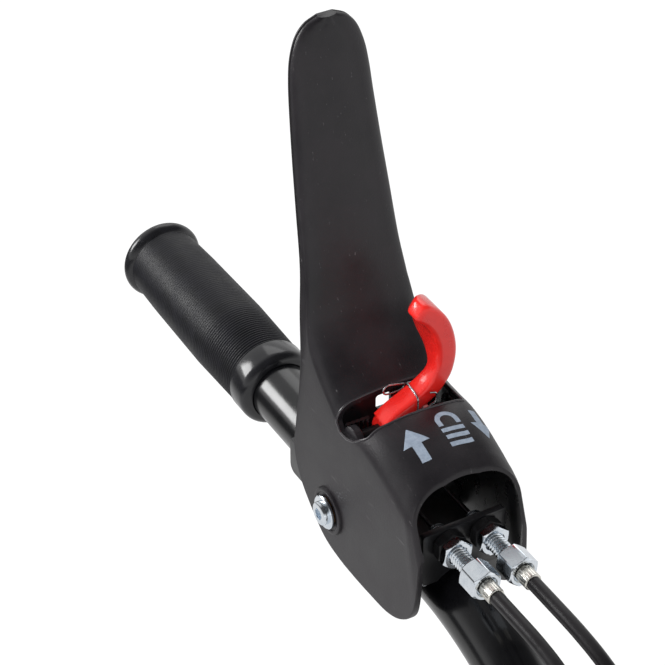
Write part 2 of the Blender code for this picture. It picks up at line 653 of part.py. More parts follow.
def build_arm(side, sign, steel):
    """One cable arm: two cheeks joined at the top, on the cross pin, with a slot for the nipple."""
    x = sign * ADJUSTER_X
    spread = ARM_SPREAD
    heel = arc((ARM_PIN_Y, ARM_PIN_Z), ARM_HEEL_R, 205, 345, 8)
    outline = rounded(heel + [(ARM_TOP_Y + 3.5, ARM_TOP_Z), (ARM_TOP_Y - 4.0, ARM_TOP_Z),
                              (NIPPLE_Y - 4.6, ADJUSTER_Z + 4.0), (NIPPLE_Y - 4.6, ADJUSTER_Z - 3.0)],
                      (0,) * len(heel) + (2.5, 2.5, 3, 3), 3)
    arm = add_object(f"cable_arm_{side}", prism(outline, x - spread - ARM_T, x + spread + ARM_T), steel)
    tall = ARM_TOP_Z - ARM_PIN_Z
    gap = box((x - spread, ARM_PIN_Y - tall, ARM_PIN_Z - tall), (x + spread, ARM_TOP_Y + tall, ARM_TOP_Z - 4.0))
    boolean(arm, gap)
    pin = (x, ARM_PIN_Y, ARM_PIN_Z)
    boolean(arm, cylinder(pin, -10, 10, ARM_PIN_R + 0.1, sides=16))
    reach = NIPPLE_R + NIPPLE_CLEARANCE
    low, high = ADJUSTER_Z - reach - 0.5, ADJUSTER_Z + reach + 0.5
    seat = rounded([(NIPPLE_Y - reach, low), (NIPPLE_Y + reach, low),
                    (NIPPLE_Y + reach, high), (NIPPLE_Y - reach, high)], (2.2,) * 4, 3)
    boolean(arm, prism(seat, x - 10, x + 10))
    return arm


def build_wire(side, sign, steel):
    """The inner wire from inside the adjuster to the barrel nipple in the arm."""
    x = sign * ADJUSTER_X
    front = cable_start_y() + 2 * GAP
    strand = cylinder((x, 0, ADJUSTER_Z), front, NIPPLE_Y, WIRE_R, "Y", 8)
    wire = add_object(f"inner_wire_{side}", strand, steel)
    length = ARM_SPREAD + ARM_T - 0.2
    boolean(wire, cylinder((x, NIPPLE_Y, ADJUSTER_Z), -length, length, NIPPLE_R, "X", 14), "UNION")
    return wire


def build_arm_pin(steel):
    """The cross pin through the bracket's lugs and both arms, with its headed ends."""
    lug_out = ADJUSTER_X + ARM_SPREAD + ARM_T + 0.6 + SHEET
    right = [(lug_out + GAP, ARM_PIN_R), (lug_out + GAP, ARM_PIN_R + 1.2), (lug_out + 1.8, ARM_PIN_R + 1.2)]
    profile = [(-along, radius) for along, radius in reversed(right)] + right
    return add_object("arm_pin", solid_turned(profile, (0, ARM_PIN_Y, ARM_PIN_Z), "X", 16), steel)


# Selector

# The finger's centre line in the (X, Z) plane with its thickness, from the hub to the free tip.
FINGER_LINE = ((-12.0, 61.8, 7.0), (-2.0, 65.5, 7.4), (7.0, 69.4, 7.8), (14.0, 74.5, 8.4),
               (18.0, 82.0, 8.6), (18.4, 91.0, 8.6), (16.0, 100.0, 8.4), (11.6, 108.0, 8.0),
               (6.0, 114.0, 7.0), (1.2, 116.4, 5.0))
FINGER_DEPTH = 10.5


def build_selector(material):
    """The red selector: a sleeve on its axle, a dog below and a hooked finger above."""
    line = spline(FINGER_LINE, 26)
    hub = (0, SELECTOR_Y, SELECTOR_Z)
    half = SELECTOR_HUB_LENGTH / 2
    selector = add_object("selector", cylinder(hub, -half, half, SELECTOR_HUB_R, sides=24), material)
    rings = []
    for i, (x, z, thick) in enumerate(line):
        after, before = line[min(i + 1, len(line) - 1)], line[max(i - 1, 0)]
        tangent = Vector((after[0] - before[0], after[1] - before[1])).normalized()
        normal = Vector((tangent[1], -tangent[0]))
        t = i / (len(line) - 1)
        depth = FINGER_DEPTH * (1 - 0.35 * max(0.0, t - 0.75) / 0.25)
        corner = 0.32 * min(thick, depth)
        section = rounded([(-thick / 2, -depth / 2), (thick / 2, -depth / 2), (thick / 2, depth / 2),
                           (-thick / 2, depth / 2)], (corner,) * 4, 2)
        rings.append([(x + normal[0] * u, SELECTOR_FINGER_Y + v, z + normal[1] * u) for u, v in section])
    boolean(selector, loft(rings), "UNION")
    dog = rounded([(SELECTOR_Y - 3.4, SELECTOR_DOG_LOW_Z), (SELECTOR_Y + 3.4, SELECTOR_DOG_LOW_Z),
                   (SELECTOR_Y + 4.2, SELECTOR_Z), (SELECTOR_Y - 4.2, SELECTOR_Z)], (1.5, 1.5, 0, 0), 3)
    boolean(selector, prism(dog, -SELECTOR_DOG_T / 2, SELECTOR_DOG_T / 2), "UNION")
    spigot = [(SPRING_SPIGOT_X, SPRING_SPIGOT_R), (SPRING_SPIGOT_X, 2 * SELECTOR_HUB_R),
              (half + 5, 2 * SELECTOR_HUB_R), (half + 5, SPRING_SPIGOT_R)]
    ring = add_object("ring", hollow_turned(spigot, hub, "X", 24), None)
    wide = 3 * SELECTOR_HUB_R
    boolean(ring, box((0, SELECTOR_Y - wide, SELECTOR_Z + SELECTOR_HUB_R),
                      (half + wide, SELECTOR_Y + wide, SELECTOR_Z + wide)))
    combine(selector, ring, "DIFFERENCE")
    boolean(selector, cylinder(hub, -half - 5, half + 5, AXLE_R + AXLE_CLEARANCE, sides=16))
    return selector


def build_axle(steel):
    """The selector's axle between the two bosses inside the lever."""
    inner = LEVER_HALF - LEVER_WALL
    reach = inner - 0.5
    axle = cylinder((0, SELECTOR_Y, SELECTOR_Z), -reach, reach, AXLE_R, sides=16)
    return add_object("selector_axle", axle, steel)


# Cables

def cable_start_y():
    """Where a sheath meets its ferrule."""
    lock_front = PLATE_FRONT_Y - 2 * GAP - WELD_NUT_T - LOCK_NUT_T
    return lock_front - THREAD_SHOWN - ADJUSTER_HEX_T - (FERRULE_T - FERRULE_SEAT) - GAP


# The right cable from its ferrule to its coil, as (x, y, z). The left one is its mirror image.
CABLE_ROUTE = ((8.85, -118.0, 31.5), (8.9, -136.0, 31.2), (9.2, -153.0, 29.0), (10.2, -168.5, 23.0),
               (11.8, -181.5, 12.5), (13.7, -191.5, -3.0), (15.5, -198.0, -22.0), (16.9, -201.4, -44.0),
               (17.7, -202.6, -66.0))


def coil_turns():
    """A coil starts at its front and ends where it runs along the tube."""
    return COIL_LOOPS - (90 - BEND_DEG) / 360


def coil_outer_r():
    """The radius at which a coil starts and ends."""
    return COIL_MEAN_R + COIL_STEP * coil_turns() / 4


def coil_layer_x(layer):
    """How far a layer's centre lies from the tube's centre."""
    return TUBE_R + GAP + SHEATH_R + layer * COIL_STEP


def coil_points(sign):
    """One cable's coil: it spirals in beside the tube, climbs a layer, and spirals out again."""
    turns = coil_turns()
    _, centre_y, centre_z = lower_point(COIL_ALONG, 0, -COIL_MEAN_R)
    steps = round(turns * COIL_POINTS)
    points = []
    for turn in np.linspace(0, turns, steps + 1):
        radius = coil_outer_r() - COIL_STEP * min(turn, turns - turn)
        climb = min(max(2 * (turn - turns / 2) + 0.5, 0.0), 1.0)
        x = coil_layer_x(climb * climb * (3 - 2 * climb))
        angle = math.pi + 2 * math.pi * turn
        points.append((sign * x, centre_y + radius * math.cos(angle), centre_z + radius * math.sin(angle)))
    first = points[0]
    last = lower_point(COIL_ALONG + 2 * SHEATH_R, sign * coil_layer_x(1), coil_outer_r() - COIL_MEAN_R)
    return [(first[0], first[1], first[2] + 2 * SHEATH_R)] + points + [last]


def least_gap(points, radius):
    """The least free gap between one part of a cord and another, measured on points along its line."""
    points = np.array(points)
    shares = np.linspace(0, 1, 6, endpoint=False)[:, None]
    fine = np.vstack([a + (b - a) * shares for a, b in zip(points, points[1:])])
    along = np.concatenate([[0], np.cumsum(np.linalg.norm(np.diff(fine, axis=0), axis=1))])
    apart = np.linalg.norm(fine[:, None] - fine[None], axis=2)
    apart[np.abs(along[:, None] - along[None]) < 10 * radius] = np.inf
    return float(apart.min() - 2 * radius)


def build_cable(side, sign, black, zinc):
    """One cable: its free stretch, the coil of its put-away length, and the fitting at its far end."""
    coil = coil_points(sign)
    print(f"cable_coil_{side}: least gap to itself {least_gap(coil, SHEATH_R):.2f} mm")
    start = cable_start_y()
    entry = coil[0]
    route = [(sign * ADJUSTER_X, start, ADJUSTER_Z)]
    route += [(sign * x, y, z) for x, y, z in CABLE_ROUTE]
    route += [(entry[0], entry[1], entry[2] + GAP)]
    curve_object(f"cable_{side}", spline(route, CABLE_POINTS), SHEATH_R, black)
    curve_object(f"cable_coil_{side}", coil, SHEATH_R, black, 1)

    x, out = coil[-1][0], coil_outer_r() - COIL_MEAN_R
    barrel_start = COIL_ALONG + 2 * SHEATH_R + GAP
    barrel_end = barrel_start + FERRULE_T
    tip = barrel_end + END_WIRE_LENGTH
    barrel = [lower_point(along, x, out) for along in (barrel_start, barrel_end)]
    end = add_object(f"cable_end_{side}", loft(swept(barrel, circle(FERRULE_R, 12))), zinc)
    rod = [lower_point(along, x, out) for along in (barrel_end - 1, tip)]
    boolean(end, loft(swept(rod, circle(WIRE_R, 8))), "UNION")
    nipple = cylinder(lower_point(tip, x, out), -END_NIPPLE_HALF, END_NIPPLE_HALF, END_NIPPLE_R, "X", 14)
    boolean(end, nipple, "UNION")


def build_tie(nylon):
    """The tie round the lower tube and both coils, with its square head on top."""
    half_width = coil_layer_x(1) + SHEATH_R + GAP
    half_height = TUBE_R + GAP

    def band(grow):
        corners = [(-half_width - grow, -half_height - grow), (half_width + grow, -half_height - grow),
                   (half_width + grow, half_height + grow), (-half_width - grow, half_height + grow)]
        return rounded(corners, (TIE_CORNER_R + grow,) * 4, 5)

    def ring(section, along):
        return [lower_point(COIL_ALONG + along, x, out) for x, out in section]

    low, high = -TIE_WIDTH / 2, TIE_WIDTH / 2
    inner, outer = band(0.0), band(TIE_T)
    rings = [ring(outer, low), ring(outer, high), ring(inner, high), ring(inner, low)]
    tie = add_object("cable_tie", loft(rings, closed=True), nylon)
    foot, top = half_height + GAP, half_height + TIE_HEAD_T
    head = [(-TIE_HEAD_HALF, foot), (TIE_HEAD_HALF, foot), (TIE_HEAD_HALF, top), (-TIE_HEAD_HALF, top)]
    return boolean(tie, loft([ring(head, low - 1), ring(head, high + 1)]), "UNION")


def finger_top(x):
    """How high the selector's bar reaches at a place across the lever."""
    line = spline(FINGER_LINE, 26)
    rising = line[: int(np.argmax(line[:, 0]))]
    slope = np.gradient(rising[:, 1], rising[:, 0])
    return float(np.interp(x, rising[:, 0], rising[:, 1] + rising[:, 2] / 2 * np.hypot(1, slope)))


def build_selector_spring(steel):
    """The wire spring round the selector's spigot, with one leg up its front and one over the finger."""
    radius = SPRING_SPIGOT_R + GAP + SPRING_WIRE_R
    apart = FINGER_DEPTH / 2 + SPRING_SIDE_GAP + SPRING_WIRE_R
    front, back = SELECTOR_Y - apart, SELECTOR_Y + apart
    coil = []
    for turn in np.linspace(0, SPRING_TURNS, round(SPRING_TURNS * SPRING_CURL_POINTS) + 1):
        angle = math.pi + 2 * math.pi * turn
        coil.append((SPRING_START_X + SPRING_PITCH * turn, SELECTOR_Y + radius * math.cos(angle),
                     SELECTOR_Z + radius * math.sin(angle)))
    start_x, end_x = coil[0][0], coil[-1][0]
    over_z = finger_top(end_x) + SPRING_OVER + SPRING_WIRE_R
    print(f"selector_spring: passes over at {over_z:.2f} mm")
    tip, knee, root = (SELECTOR_Z + height for height in SPRING_FRONT_LEG)
    down_leg = spline([(start_x, front - 0.2, tip), (start_x, front, knee),
                       (start_x, front + 0.3, root), coil[0]], 6)
    low, high = (SELECTOR_Z + height for height in SPRING_BACK_LEG)
    turn_z = over_z - SPRING_BEND
    over_x = end_x - 0.9
    up_leg = spline([coil[-1], (end_x, back - 0.3, low), (end_x, back, high), (end_x - 0.4, back, turn_z),
                     (end_x - 0.7, back - 2.0, over_z), (over_x, SELECTOR_Y, over_z),
                     (over_x, front + 2.0, over_z), (over_x, front, turn_z),
                     (over_x, front - 0.2, tip - 1.0)], 22)
    points = [tuple(p) for p in down_leg[:-1]] + coil + [tuple(p) for p in up_leg[1:]]
    print(f"selector_spring: least gap to itself {least_gap(points, SPRING_WIRE_R):.2f} mm")
    return curve_object("selector_spring", points, SPRING_WIRE_R, steel, 1)


def curve_object(name, points, radius, material, bevel=2):
    """A cord as a bevelled curve with closed ends."""
    data = bpy.data.curves.new(name, "CURVE")
    data.dimensions = "3D"
    data.bevel_depth = radius * MM
    data.bevel_resolution = bevel
    data.use_fill_caps = True
    line = data.splines.new("POLY")
    line.points.add(len(points) - 1)
    for point, target in zip(points, line.points):
        target.co = (*vec(*point), 1.0)
    data.materials.append(material)
    obj = bpy.data.objects.new(name, data)
    bpy.context.scene.collection.objects.link(obj)
    return obj


def main():
    """Builds every piece and puts the tube's lower end at the world origin."""
    for obj in list(bpy.data.objects):
        bpy.data.objects.remove(obj)
    black_paint = finish("black_paint", (0.012, 0.012, 0.013), 0.25)
    rubber = finish("grip_rubber", (0.014, 0.014, 0.015), 0.55)
    nylon = finish("lever_nylon", (0.045, 0.043, 0.045), 0.5)
    red = finish("selector_red", (0.75, 0.03, 0.02), 0.35)
    zinc = finish("zinc_plate", (0.72, 0.74, 0.76), 0.28, 1.0)
    steel = finish("black_steel", (0.02, 0.02, 0.022), 0.4, 0.6)
    brass = finish("bush_bronze", (0.55, 0.38, 0.16), 0.35, 1.0)
    wire = finish("wire_steel", (0.6, 0.6, 0.6), 0.3, 1.0)

    build_tube(black_paint)
    build_grip(rubber)
    build_bracket(black_paint)
    build_lever(nylon)
    build_selector(red)
    build_axle(zinc)
    build_selector_spring(wire)
    build_arm_pin(zinc)
    for side, sign in SIDES.items():
        build_cable_side(side, sign, steel, zinc)
        build_pivots(side, sign, zinc, steel, brass)
        build_arm(side, sign, zinc)
        build_wire(side, sign, wire)
        build_cable(side, sign, rubber, zinc)
    build_tie(nylon)

    frame = bpy.data.objects.new("control_frame", None)
    bpy.context.scene.collection.objects.link(frame)
    frame.location = -vec(*TUBE_END)
    for obj in list(bpy.data.objects):
        if obj is not frame:
            obj.parent = frame


main()
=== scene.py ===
"""Render scene of a garden tiller's hand control.

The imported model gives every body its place. Each class below stands for one sub-assembly and holds its
sizes in millimetres of the control frame: X to the right, Y towards the grip, Z up, with the origin on
the tube's centre line below the lever pivot.
"""

from __future__ import annotations

import logging
import math
from collections.abc import Callable, Sequence
from dataclasses import dataclass
from enum import Enum

import bmesh
import bpy
import numpy as np
from mathutils import Matrix, Vector
from mathutils.bvhtree import BVHTree

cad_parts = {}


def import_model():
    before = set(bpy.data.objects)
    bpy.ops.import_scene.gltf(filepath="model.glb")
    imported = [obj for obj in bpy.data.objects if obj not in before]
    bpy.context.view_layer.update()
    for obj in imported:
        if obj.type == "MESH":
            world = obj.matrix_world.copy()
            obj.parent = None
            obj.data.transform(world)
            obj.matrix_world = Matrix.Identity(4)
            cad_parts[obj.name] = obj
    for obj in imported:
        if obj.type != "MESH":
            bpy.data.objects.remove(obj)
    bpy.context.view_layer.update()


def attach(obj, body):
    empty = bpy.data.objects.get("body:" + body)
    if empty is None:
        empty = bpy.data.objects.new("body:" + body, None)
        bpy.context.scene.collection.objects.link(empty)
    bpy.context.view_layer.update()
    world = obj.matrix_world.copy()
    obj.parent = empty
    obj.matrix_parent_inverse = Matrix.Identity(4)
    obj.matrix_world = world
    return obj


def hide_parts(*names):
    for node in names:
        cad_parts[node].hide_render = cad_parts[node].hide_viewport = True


LOG = logging.getLogger("hand_control")
MM = 0.001
ORIGIN = Vector((0.0, 267.0039, 140.8579))  # the control frame's origin in the world, in mm
X_AXIS, Y_AXIS = Vector((1.0, 0.0, 0.0)), Vector((0.0, 1.0, 0.0))
GAP = 0.3  # clearance between pieces that touch
SHARP = 35.0  # edges that turn further than this, in degrees, are shaded sharp
SOFT = 40.0  # edges that turn further than this are rounded where a piece is softened
HEX_FACE = 0.475  # radius of a hexagon's round face, as a share of its width across flats
HEX_CHAMFER = 30.0  # slope of its chamfer in degrees

# Places and sizes that several sub-assemblies share
CABLE_X, CABLE_Z = 8.85, 31.5  # the axis of each cable where it enters the housing
PIVOT_Z = 8.0  # height of the axis that the lever turns on
ARM_PIN = (-14.0, 23.0)  # (y, z) of the pin that the cable arms swing on
SELECTOR_AXLE = (-16.0, 57.0)  # (y, z) of the axle that the selector slides on
PLATE_Y = -66.0  # front face of the plate that the adjusters screw into
SHEET = 3.0  # thickness of the bracket's sheet
EAR_IN = 20.6  # inner face of the bracket's ears
LEVER_HALF, LEVER_WALL = 27.0, 2.6  # half the lever's width over its cheeks, and its wall
BOSS_PROUD = 1.4  # how far the pivot bosses stand out of the lever's cheeks
WIRE_R = 0.9  # radius of the inner wires
COIL_ALONG = 60.0  # the middle of the coils and their tie, from the bend's end

Radius = float | Callable[[float], float]  # a radius, or one that depends on the angle in radians


class Side(Enum):
    """The two cables and cheeks, with their sign along X."""

    LEFT = -1
    RIGHT = 1

    def label(self, stem: str) -> str:
        """Returns a piece name for this side."""
        return f"{stem}_{self.name.lower()}"

    def stretch(self, start: float, end: float) -> tuple[float, float]:
        """Returns a stretch of X on this side, low end first, from its distances off the middle."""
        low, high = sorted((self.value * start, self.value * end))
        return low, high

    def outward(self, profile: Sequence[tuple[float, Radius]]) -> list[tuple[float, Radius]]:
        """Puts a profile along X on this side, its places being distances off the middle."""
        return [(self.value * place, radius) for place, radius in profile]


class Body(Enum):
    """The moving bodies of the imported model."""

    HANDLEBAR = "handlebar"
    LEVER = "lever"
    SELECTOR = "selector_slider"
    ARM_LEFT = "arm_left"
    ARM_RIGHT = "arm_right"
    WIRE_LEFT = "wire_left"
    WIRE_RIGHT = "wire_right"


class Cut(Enum):
    """What a Boolean does with its helper."""

    AWAY = "DIFFERENCE"
    JOIN = "UNION"


# Shader building


def linear(colour: str) -> tuple[float, float, float, float]:
    """Turns an sRGB hex value into linear colour.

    Args:
        colour: A value such as "#c3cbd6".

    Returns:
        Linear red, green and blue, with an alpha of one.
    """
    channels = [int(colour[k : k + 2], 16) / 255 for k in (1, 3, 5)]
    red, green, blue = (c / 12.92 if c <= 0.04045 else ((c + 0.055) / 1.055) ** 2.4 for c in channels)
    return red, green, blue, 1.0


def per_mm(spacing: float) -> float:
    """Returns the texture scale whose features lie a spacing in millimetres apart."""
    return 1.0 / (spacing * MM)


def add_node(tree: bpy.types.NodeTree, kind: str, inputs: dict | None = None,
             **settings: object) -> bpy.types.Node:
    """Adds a node with its settings, values and links.

    Args:
        tree: The node tree.
        kind: The node's type name.
        inputs: Values or output sockets, by the name or number of the input.
        **settings: Properties of the node itself.

    Returns:
        The new node.
    """
    node = tree.nodes.new(kind)
    for name, value in settings.items():
        setattr(node, name, value)
    for key, value in (inputs or {}).items():
        if isinstance(value, bpy.types.NodeSocket):
            tree.links.new(value, node.inputs[key])
        else:
            node.inputs[key].default_value = value
    return node


@dataclass(frozen=True)
class Finish:
    """A real surface: its colours, its gloss and the grain that its making leaves, in millimetres."""

    name: str
    colour: str
    second: str  # the colour that it varies towards
    roughness: float
    patch: float = 15.0  # size of the colour variation
    patch_turn: tuple[float, float] = (0.35, 0.65)  # levels of its noise between which the colour turns
    gloss_turn: tuple[float, float] = (0.3, 0.7)  # and the roughness
    grain: float = 0.5  # spacing of the surface grain
    depth: float = 0.01  # height of that grain
    metallic: float = 0.0
    coat: float = 0.0
    coat_roughness: float = 0.08
    gloss_spread: float = 0.06  # how far the roughness varies either way
    specular: float = 0.5
    slot: str | None = None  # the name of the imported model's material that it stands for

    def material(self) -> bpy.types.Material:
        """Returns the finish's material, made at its first use."""
        made = bpy.data.materials.get(self.name)
        if made:
            return made
        made = bpy.data.materials.new(self.name)
        made.use_nodes = True
        tree = made.node_tree
        shader = tree.nodes["Principled BSDF"]
        shader.inputs["Metallic"].default_value = self.metallic
        shader.inputs["Coat Weight"].default_value = self.coat
        shader.inputs["Coat Roughness"].default_value = self.coat_roughness
        shader.inputs["Specular IOR Level"].default_value = self.specular
        self.dress(tree, shader)
        made.diffuse_color = linear(self.colour)
        return made

    def dress(self, tree: bpy.types.NodeTree, shader: bpy.types.Node) -> None:
        """Links the colour, roughness and bump patterns to the shader.

        Args:
            tree: The material's node tree.
            shader: Its Principled shader.
        """
        place = add_node(tree, "ShaderNodeTexCoord").outputs["Object"]
        patches = add_node(tree, "ShaderNodeTexNoise",
                           {"Vector": place, "Scale": per_mm(self.patch), "Detail": 5.0, "Roughness": 0.6})
        level = add_node(tree, "ShaderNodeMapRange",
                         {"Value": patches.outputs["Fac"], "From Min": self.patch_turn[0],
                          "From Max": self.patch_turn[1]})
        colour = add_node(tree, "ShaderNodeMix",
                          {0: level.outputs["Result"], 6: linear(self.colour), 7: linear(self.second)},
                          data_type="RGBA").outputs[2]
        grain = add_node(tree, "ShaderNodeTexNoise",
                         {"Vector": place, "Scale": per_mm(self.grain), "Detail": 3.0, "Roughness": 0.55})
        gloss = add_node(tree, "ShaderNodeMapRange",
                         {"Value": patches.outputs["Fac"], "From Min": self.gloss_turn[0],
                          "From Max": self.gloss_turn[1], "To Min": self.roughness - self.gloss_spread,
                          "To Max": self.roughness + self.gloss_spread})
        bump = add_node(tree, "ShaderNodeBump",
                        {"Height": grain.outputs["Fac"], "Strength": 1.0, "Distance": self.depth * MM})
        tree.links.new(self.marked(tree, place, colour), shader.inputs["Base Color"])
        tree.links.new(gloss.outputs["Result"], shader.inputs["Roughness"])
        tree.links.new(bump.outputs["Normal"], shader.inputs["Normal"])

    def marked(self, tree: bpy.types.NodeTree, place: bpy.types.NodeSocket,
               colour: bpy.types.NodeSocket) -> bpy.types.NodeSocket:
        """Returns the colour with the finish's own marks. A plain finish has none."""
        return colour


@dataclass(frozen=True)
class ScuffedFinish(Finish):
    """A moulding that hands and storage have rubbed: pale dry scratches over the spark-eroded grain."""

    scuff: str = "#6f6d6e"
    scuff_size: tuple[float, float, float] = (1.1, 26.0, 3.3)  # across, along and through the part
    scuff_lie: tuple[float, float, float] = (0.5, 0.2, 0.3)  # their turn in radians
    scuff_turn: tuple[float, float] = (0.66, 0.74)  # levels of its noise between which a scuff appears
    scuff_share: float = 0.55  # how far the palest scuff reaches its colour

    def marked(self, tree: bpy.types.NodeTree, place: bpy.types.NodeSocket,
               colour: bpy.types.NodeSocket) -> bpy.types.NodeSocket:
        """Adds long, thin scuffs that lie roughly along the part.

        Args:
            tree: The material's node tree.
            place: Object coordinates.
            colour: The colour so far.

        Returns:
            The colour with the scuffs.
        """
        lie = add_node(tree, "ShaderNodeMapping",
                       {"Vector": place, "Rotation": self.scuff_lie,
                        "Scale": tuple(per_mm(size) for size in self.scuff_size)})
        lines = add_node(tree, "ShaderNodeTexNoise",
                         {"Vector": lie.outputs["Vector"], "Scale": 1.0, "Detail": 4.0, "Roughness": 0.7})
        thin = add_node(tree, "ShaderNodeMapRange",
                        {"Value": lines.outputs["Fac"], "From Min": self.scuff_turn[0],
                         "From Max": self.scuff_turn[1], "To Max": self.scuff_share})
        worn = add_node(tree, "ShaderNodeMix", {0: thin.outputs["Result"], 6: colour, 7: linear(self.scuff)},
                        data_type="RGBA")
        return worn.outputs[2]


# Grain finer than about 0.2 mm doesn't show in the render. So the grain of the metals, the tooth of the
# rubber and ink and the sandy grain of the nylon are drawn about two to ten times as coarse as they are. The
# orange peel of the powder coat, the waves of the sheath and the flow marks of polished mouldings are not.

# Low-carbon steel tube, blasted and powder coated in gloss black: near-black, with a soft orange peel in
# its long highlight.
TUBE_PAINT = Finish("powder_coated_steel_tube", "#08080a", "#0e0e10", 0.22, grain=1.8, depth=0.012, coat=0.2,
                    gloss_spread=0.04, slot="tube_paint")
# The same coat on pressed sheet, a little drier where the spray reached it at an angle.
SHEET_PAINT = Finish("powder_coated_steel_sheet", "#131314", "#1a1a1c", 0.34, grain=0.9, depth=0.02,
                     slot="tube_paint")
# Bright grey steel laid along one edge of that sheet as a painted highlight, with a fine grain.
PLATE_EDGE_HIGHLIGHT = Finish("plate_edge_highlight_steel", "#9a9b9f", "#6d6e73", 0.36, grain=0.3, depth=0.02, metallic=1.0,
                   slot="tube_paint")
# Compression moulded black rubber: dark, dull and faintly dusty, with the mould's fine tooth.
GRIP_RUBBER = Finish("moulded_rubber", "#0e0e11", "#15151a", 0.46, patch=9.0, grain=0.35, depth=0.02,
                     specular=0.24, slot="grip_rubber")
# The same rubber where the mould is polished, at the grip's collar and bead: a clear soft gloss.
SMOOTH_RUBBER = Finish("polished_mould_rubber", "#151517", "#1b1b1e", 0.17, patch=9.0, grain=0.8, depth=0.008,
                       slot="grip_rubber")
# Glass-filled nylon, injection moulded in a spark-eroded mould: charcoal, satin, with a sandy grain.
LEVER_NYLON = ScuffedFinish("moulded_glass_filled_nylon", "#19171a", "#242124", 0.42, patch=22.0, grain=0.75,
                            depth=0.085, specular=0.4, slot="lever_nylon")
# The same nylon on an edge that the hand has worn smooth and shinier, and lighter in colour as a painted
# highlight along that line.
WORN_EDGE_HIGHLIGHT_NYLON = Finish("worn_edge_and_highlight_nylon", "#2c292c", "#363336", 0.22, patch=12.0, grain=0.8, depth=0.01,
                    specular=0.6, slot="lever_nylon")
# The same nylon inside the housing, where it guides the selector: smoother from a polished core, and
# near-black as painted shade.
SHADED_NYLON = Finish("painted_shade_nylon", "#0b0b0c", "#121214", 0.3, patch=6.0, grain=0.6, depth=0.01,
                     slot="lever_nylon")
# Acetal, injection moulded in a polished mould: clear bright red with a hard gloss.
SELECTOR_RED = Finish("moulded_red_acetal", "#e6271f", "#d81e1a", 0.26, patch=10.0, grain=1.2, depth=0.006,
                      coat=0.25, slot="selector_red")
# Steel, machined and bright zinc plated, with the blue tint of its passivation.
ZINC = Finish("bright_zinc_plated_steel", "#e9eef3", "#d9e1e9", 0.15, patch=6.0, grain=0.25, depth=0.006,
              metallic=1.0, gloss_spread=0.05, slot="zinc_plate")
# Zinc plated barrel crimped over the sheath: warmer, and dulled by the crimping tool.
CRIMPED_ZINC = Finish("crimped_zinc_plated_steel", "#e8e6e0", "#d8d5cc", 0.27, patch=2.5, grain=0.3,
                      depth=0.012, metallic=1.0, slot="zinc_plate")
# Steel nuts and pins, phosphated and oiled: soft black with a grey sheen.
BLACK_STEEL = Finish("phosphated_steel", "#141415", "#202022", 0.36, patch=3.0, grain=0.3, depth=0.012,
                     metallic=0.5, slot="black_steel")
# Sintered bronze bush, sized and oiled: brown gold with fine pores.
BRONZE = Finish("sintered_bronze", "#9c7440", "#7d5a30", 0.42, patch=3.0, grain=0.25, depth=0.02,
                metallic=1.0, slot="bush_bronze")
# Drawn spring steel wire: bright, and nearly smooth.
SPRING_WIRE = Finish("drawn_spring_steel", "#c9cbce", "#a9abb0", 0.24, patch=3.0, grain=0.2, depth=0.004,
                     metallic=1.0, slot="wire_steel")
# Inner wire of steel strand where it runs through the housing, dark as painted shade, with a broken sheen.
SHADED_WIRE = Finish("shade_darkened_wire_strand", "#3b3b3e", "#262628", 0.38, patch=2.0, grain=0.3, depth=0.01,
                      metallic=1.0, slot="wire_steel")
# Extruded PVC sheath over a spiral liner: matte black with a soft highlight and slight waves.
SHEATH = Finish("extruded_pvc_sheath", "#131113", "#1a181a", 0.36, patch=12.0, grain=2.4, depth=0.03,
                specular=0.3, slot="sheath_black")
# Weather resistant nylon strap: black and smooth from the mould.
TIE_NYLON = Finish("moulded_black_nylon", "#151516", "#1d1d1f", 0.36, patch=8.0, grain=0.5, depth=0.01,
                   slot="tie_nylon")
# Pad printing ink on the nylon: flat, pale grey blue, worn thin over the grain.
PRINT_INK = Finish("pad_printed_ink", "#919dab", "#7f8b9a", 0.55, patch=2.0, grain=0.42, depth=0.02)


# Geometry in millimetres of the control frame


def arc(centre: Sequence[float], radius: float, start: float, end: float,
        steps: int) -> list[tuple[float, float]]:
    """Places points on an arc in a plane.

    Args:
        centre: The arc's centre.
        radius: Its radius.
        start: The first angle in degrees.
        end: The last angle in degrees.
        steps: How many pieces it is split into.

    Returns:
        The points, one more than the steps.
    """
    return [(centre[0] + radius * math.cos(a), centre[1] + radius * math.sin(a))
            for a in np.radians(np.linspace(start, end, steps + 1))]


def rounded(points: Sequence[tuple], radii: Sequence[float], steps: int = 6) -> list[tuple[float, float]]:
    """Rounds the corners of a polygon.

    Args:
        points: The corners in order.
        radii: One radius for each corner, zero to leave it sharp.
        steps: Pieces in each rounded corner.

    Returns:
        The new outline.
    """
    out: list[tuple[float, float]] = []
    for i, radius in enumerate(radii):
        here = Vector(points[i])
        before, after = Vector(points[i - 1]) - here, Vector(points[(i + 1) % len(points)]) - here
        if radius <= 0:
            out.append(tuple(here))
            continue
        a, b = before.normalized(), after.normalized()
        half = a.angle(b) / 2
        reach = min(radius / math.tan(half), 0.48 * before.length, 0.48 * after.length)
        centre = here + (a + b).normalized() * (reach / math.cos(half))
        start, end = here + a * reach - centre, here + b * reach - centre
        first = math.atan2(start.y, start.x)
        turn = (math.atan2(end.y, end.x) - first + math.pi) % (2 * math.pi) - math.pi
        out += arc(centre, reach * math.tan(half), math.degrees(first), math.degrees(first + turn), steps)
    return out


def rectangle(left: float, low: float, right: float, high: float) -> list[tuple[float, float]]:
    """Returns a rectangle's four corners, from the lower left one round to the upper left one."""
    return [(left, low), (right, low), (right, high), (left, high)]


